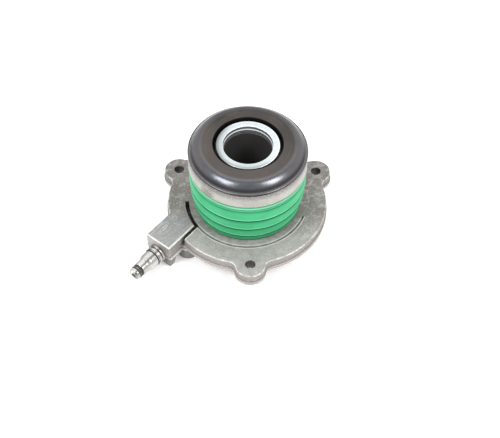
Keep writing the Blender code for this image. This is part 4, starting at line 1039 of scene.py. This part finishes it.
def boot_rubber(finish):
    spot = finish.place()
    height = finish.node("ShaderNodeAttribute", {"attribute_name": "height_on_boot"}, {}, output=2)
    cloud = finish.noise(spot, 0.06, 2.0, 0.5)
    grain = finish.noise(spot, 2.2, 3.0, 0.6)
    tone = finish.mix(cloud.between(0.35, 0.65), (0.048, 0.385, 0.168), (0.062, 0.44, 0.203))
    # painted shade, darker towards the foot
    tone = tone.tinted(height.until(1.0, 26.0) * 0.25, (0.035, 0.33, 0.135))
    for fold, place in enumerate(FOLD_PLACES):
        weight = 1.0 if fold < DEEP_FOLDS else 0.35
        # painted shade in each crease, darkest right under the fold's edge
        shade = height.band(place - 3.4, place - 0.6, place + 0.45, place + 0.6)
        tone = tone.tinted(shade * 0.85 * weight, (0.012, 0.19, 0.070))
        under = height.band(place - 1.2, place - 0.6, place + 0.45, place + 0.6)
        tone = tone.tinted(under * 0.95 * weight, (0.003, 0.085, 0.030))
        # painted highlight on each fold's edge
        edge = height.band(place + 0.6, place + 0.9, place + 1.3, place + 1.9)
        tone = tone.tinted(edge * 0.7 * weight, (0.20, 0.76, 0.44))
    # painted highlight on the bead
    bead = height.band(35.0, 35.4, 35.9, 36.4)
    tone = tone.tinted(bead * 0.7, (0.34, 0.60, 0.46))
    # painted shade below the bead
    tucked = height.band(32.8, 34.0, 35.0, 35.4)
    tone = tone.tinted(tucked * 0.55, (0.022, 0.24, 0.115))
    # painted shadow at the boot's foot
    foot = height.until(0.4, 3.0)
    tone = tone.tinted(foot * 0.7, (0.012, 0.10, 0.048))
    return {
        "Base Color": tone,
        "Roughness": 0.42 + grain * 0.1,
        "Specular IOR Level": 0.18,
        "Normal": finish.bump(grain, 0.00004, 0.3),
    }


BOOT_RUBBER = surface("boot_rubber_finish", boot_rubber)

# %% [markdown]
# The boot's section is a skin with narrow slits, written once for the outside and once for the
# inside. The slits of the three lower folds are deep, and the last one lies just under the bead that
# grips the carrier.

# %% Boot section
BOOT_FOOT = foot_of("dust_boot")
BOOT_TOP = CARRIER_FOOT - CLEARANCE
BOOT_WAIST = 33.4
BOOT_SPREAD = 4.0


def skin(height):
    """The boot widens quickly above the flange and then stands almost upright."""
    share = (height - BOOT_FOOT) / (BOOT_TOP - BOOT_FOOT)
    return BOOT_WAIST + BOOT_SPREAD * (1.0 - (1.0 - share) ** 3)


outside = [(skin(BOOT_FOOT) - 0.2, BOOT_FOOT), (skin(BOOT_FOOT), BOOT_FOOT + 0.3)]
inside = [(29.8, BOOT_FOOT)]
for fold, place in enumerate(FOLD_PLACES):
    height = BOOT_FOOT + place
    edge = skin(height)
    depth, tuck = (2.1, 1.0) if fold < DEEP_FOLDS else (0.55, 0.35)
    outside += [
        (skin(height - 3.2) - 0.02, height - 3.2), (edge - 0.22 * tuck, height - 1.7),
        (edge - 0.45 * tuck, height - 1.0), (edge - 0.85 * tuck, height - 0.62),
        (edge - depth, height - 0.42), (edge - depth, height + 0.28),
        (edge - 0.45 * tuck, height + 0.46), (edge - 0.02, height + 0.72), (edge + 0.10, height + 1.10),
        (edge + 0.06, height + 1.6),
    ]
    inside += [
        (edge - 3.6, height - 0.9), (edge - 3.6, height + 0.9),
        (skin(height + 4.6) - 1.6, height + 3.2),
    ]
# the bead, and the grip inside the carrier
outside += [
    (37.36, BOOT_TOP - 2.6), (37.30, BOOT_TOP - 2.1), (37.50, BOOT_TOP - 1.8), (37.58, BOOT_TOP - 1.3),
    (37.45, BOOT_TOP - 0.9), (37.0, BOOT_TOP - 0.6), (36.6, BOOT_TOP), (35.7, BOOT_TOP), (35.7, 59.7),
]
inside[-1] = (34.2, BOOT_TOP - 3.0)
inside += [(34.2, 57.9), (30.8, 57.9), (30.8, 59.7)]
boot = spin_section(outside + inside[::-1], steps=144)
height_on_boot = boot.verts.layers.float.new("height_on_boot")
for vertex in boot.verts:
    vertex[height_on_boot] = vertex.co.z - BOOT_FOOT
boot_piece = settle(boot, "folded_boot", None, BOOT_RUBBER, sharp=60.0)
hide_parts("dust_boot")
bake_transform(boot_piece)

# %% [markdown]
# ## Preload spring
# The spring hides inside the boot. A single circle of wire is spun as a screw: each step turns it and
# lifts it a little, which makes a true coil.

# %% Preload spring
SPRING_WIRE = grained(
    "spring_wire_finish", 0.8, (0.16, 0.16, 0.17), (0.30, 0.30, 0.31), 0.36, 0.0, Metallic=0.85)
SPRING_FOOT = foot_of("preload_spring")
SPRING_TOP = top_of("preload_spring")
COIL_RADIUS = 27.5
WIRE_RADIUS = 1.3
COIL_TURNS = 5.5
TURN_STEPS = 48

coil = bmesh.new()
wire = bmesh.ops.create_circle(coil, cap_ends=True, segments=14, radius=WIRE_RADIUS)["verts"]
wire_start = Matrix.Translation((COIL_RADIUS, 0.0, SPRING_FOOT + WIRE_RADIUS))
bmesh.ops.transform(coil, matrix=wire_start @ Matrix.Rotation(math.pi / 2, 4, "X"), verts=wire)
coil_steps = int(COIL_TURNS * TURN_STEPS)
rise = (SPRING_TOP - SPRING_FOOT - 2 * WIRE_RADIUS) / coil_steps
bmesh.ops.spin(
    coil, geom=coil.verts[:] + coil.edges[:] + coil.faces[:], cent=(0, 0, 0), axis=(0, 0, 1),
    dvec=(0, 0, rise), angle=math.tau * COIL_TURNS, steps=coil_steps)
bmesh.ops.recalc_face_normals(coil, faces=coil.faces[:])
spring = settle(coil, "preload_coil", None, SPRING_WIRE, sharp=50.0)
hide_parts("preload_spring")
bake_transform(spring)

# %% [markdown]
# ## Inlet nipple
# The nipple is turned from bar and plated. Such a small bright cylinder mirrors bright and dark bands
# of the studio, and the ramp repeats them across it.

# %% Bright plating
def bright_plating(finish):
    spot = finish.place()
    u, v, _ = finish.parts(finish.place(turn=-BLOCK_TURN))
    cloud = finish.noise(spot, 0.3, 2.0, 0.5)
    round_it = (v - PORT_ACROSS + 6.0) / 12.0
    tone = finish.node("ShaderNodeValToRGB", {"stops": [
        (0.0, (0.40, 0.39, 0.37)), (0.16, (0.11, 0.105, 0.10)), (0.30, (0.40, 0.39, 0.37)),
        (0.41, (0.80, 0.79, 0.77)), (0.52, (0.42, 0.41, 0.39)), (0.66, (0.11, 0.105, 0.10)),
        (0.80, (0.38, 0.37, 0.35)), (1.0, (0.58, 0.57, 0.55))]}, {"Fac": round_it})
    tone = tone.tinted(cloud * 0.25, (0.36, 0.35, 0.33))
    shaded = u.until(BLOCK_REACH + 4.8, BLOCK_REACH + 6.4)
    tone = tone.tinted(shaded * 0.25, (0.30, 0.28, 0.265))
    return {"Base Color": tone, "Metallic": 0.95, "Roughness": 0.27 + cloud * 0.06}


NIPPLE_PLATING = surface("nipple_plating_finish", bright_plating)

# %% [markdown]
# The nipple is spun along Z and then laid into the block's port with one matrix. Two collars, a round
# barrel, a taper and a stem follow one another out to the tip.

# %% Inlet nipple
nipple = spin_section([
    # the tip and its two grooves
    (1.5, 24.1), (2.9, 24.1), (3.5, 23.8), (3.85, 23.2), (4.0, 22.4), (4.0, 21.65), (3.0, 21.6),
    (3.0, 20.3), (3.75, 20.25), (3.75, 19.9), (3.0, 19.85), (3.0, 18.5),
    # the stem, the taper and the barrel with its clip groove
    (4.2, 18.4), (4.5, 18.0), (4.5, 14.4), (4.56, 13.7), (4.78, 12.9), (5.2, 11.9), (5.42, 11.3),
    (5.5, 10.7), (5.5, 6.2), (5.1, 6.1), (5.1, 5.35), (5.5, 5.25), (5.5, 4.7),
    # the two collars
    (5.9, 4.6), (6.0, 4.4), (6.0, 3.0), (5.8, 2.8), (4.8, 2.7), (4.8, 2.2), (6.1, 2.1), (6.3, 1.8),
    (6.3, 0.6), (6.1, 0.3),
    # the shank in the block, with a groove for its seal
    (5.0, 0.3), (5.0, -4.6), (3.7, -4.6), (3.7, -6.4), (5.0, -6.4), (5.0, -10.7), (1.5, -10.7),
], steps=72)
settle(
    nipple, "plated_nipple", "cylinder_body", NIPPLE_PLATING, ["inlet_nipple"],
    sharp=38.0, place=PORT_PLACE)

# %% [markdown]
# ## Rubber and wire rings
# A ring of round section is a small circle spun round an axis. Two rubber rings sit in the grooves at
# the nipple's tip, and a dark steel wire ring in the groove of its barrel, painted near black as the
# groove's shade.

# %% Rings
BLACK_RUBBER = grained(
    "black_rubber_finish", 1.2, (0.012, 0.012, 0.012), (0.028, 0.027, 0.026), 0.28, 0.12)
# the clip wire is dark steel, painted near black to stand in for the shade in its groove
CLIP_WIRE_IN_GROOVE_SHADE = grained(
    "clip_wire_in_groove_shade_finish", 1.0, (0.020, 0.020, 0.020), (0.050, 0.049, 0.048), 0.34, 0.1, Metallic=0.7)


def ring_shape(radius, wire_radius, height):
    shape = bmesh.new()
    circle = bmesh.ops.create_circle(shape, cap_ends=False, segments=16, radius=wire_radius)["verts"]
    stand = Matrix.Translation((radius, 0.0, height)) @ Matrix.Rotation(math.pi / 2, 4, "X")
    bmesh.ops.transform(shape, matrix=stand, verts=circle)
    return spin_round(shape, 64)


for name, height in (("nipple_o_ring_front", 20.95), ("nipple_o_ring_rear", 19.2)):
    settle(
        ring_shape(3.7, 0.66, height), name + "_soft", "cylinder_body", BLACK_RUBBER,
        [name], place=PORT_PLACE)
settle(
    ring_shape(5.65, 0.35, 5.72), "clip_wire", "cylinder_body", CLIP_WIRE_IN_GROOVE_SHADE,
    ["nipple_clip_ring"], place=PORT_PLACE)

# %% [markdown]
# ## Pieces that keep their solid shape
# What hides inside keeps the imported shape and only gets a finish. The finish follows from the material
# slot that the record names for each piece.

# %% Finishes of the inner pieces
SHIELD_RUBBER = grained(
    "shield_rubber_finish", 0.9, (0.004, 0.004, 0.004), (0.009, 0.008, 0.008), 0.55, 0.2,
    **{"Specular IOR Level": 0.12})
DARK_PLASTIC = grained(
    "dark_plastic_finish", 1.1, (0.045, 0.045, 0.048), (0.075, 0.075, 0.078), 0.45, 0.2)
CAGE_PLASTIC = grained(
    "cage_plastic_finish", 0.7, (0.38, 0.31, 0.18), (0.46, 0.39, 0.24), 0.45, 0.15)
GROUND_STEEL = grained(
    "ground_steel_finish", 1.5, (0.62, 0.62, 0.64), (0.72, 0.72, 0.74), 0.14, 0.08, detail=2.0,
    Metallic=1.0)

FINISH_OF_SLOT = {
    "cast_aluminium": CAST_ALUMINIUM, "plated_steel": PLATED_STEEL, "bearing_steel": RING_STEEL,
    "ball_steel": GROUND_STEEL, "carrier_sheet": CARRIER_SHEET, "spring_steel": SPRING_WIRE,
    "boot_rubber": BOOT_RUBBER, "black_rubber": SHIELD_RUBBER, "piston_plastic": DARK_PLASTIC,
    "cage_plastic": CAGE_PLASTIC,
}
for entry in frame["record"]["subparts"]:
    node = frame["nodes"][entry["node"]]
    node.data.materials.clear()
    node.data.materials.append(FINISH_OF_SLOT[entry["material_slot"]])
print("solid pieces with a finish:", len(frame["nodes"]))
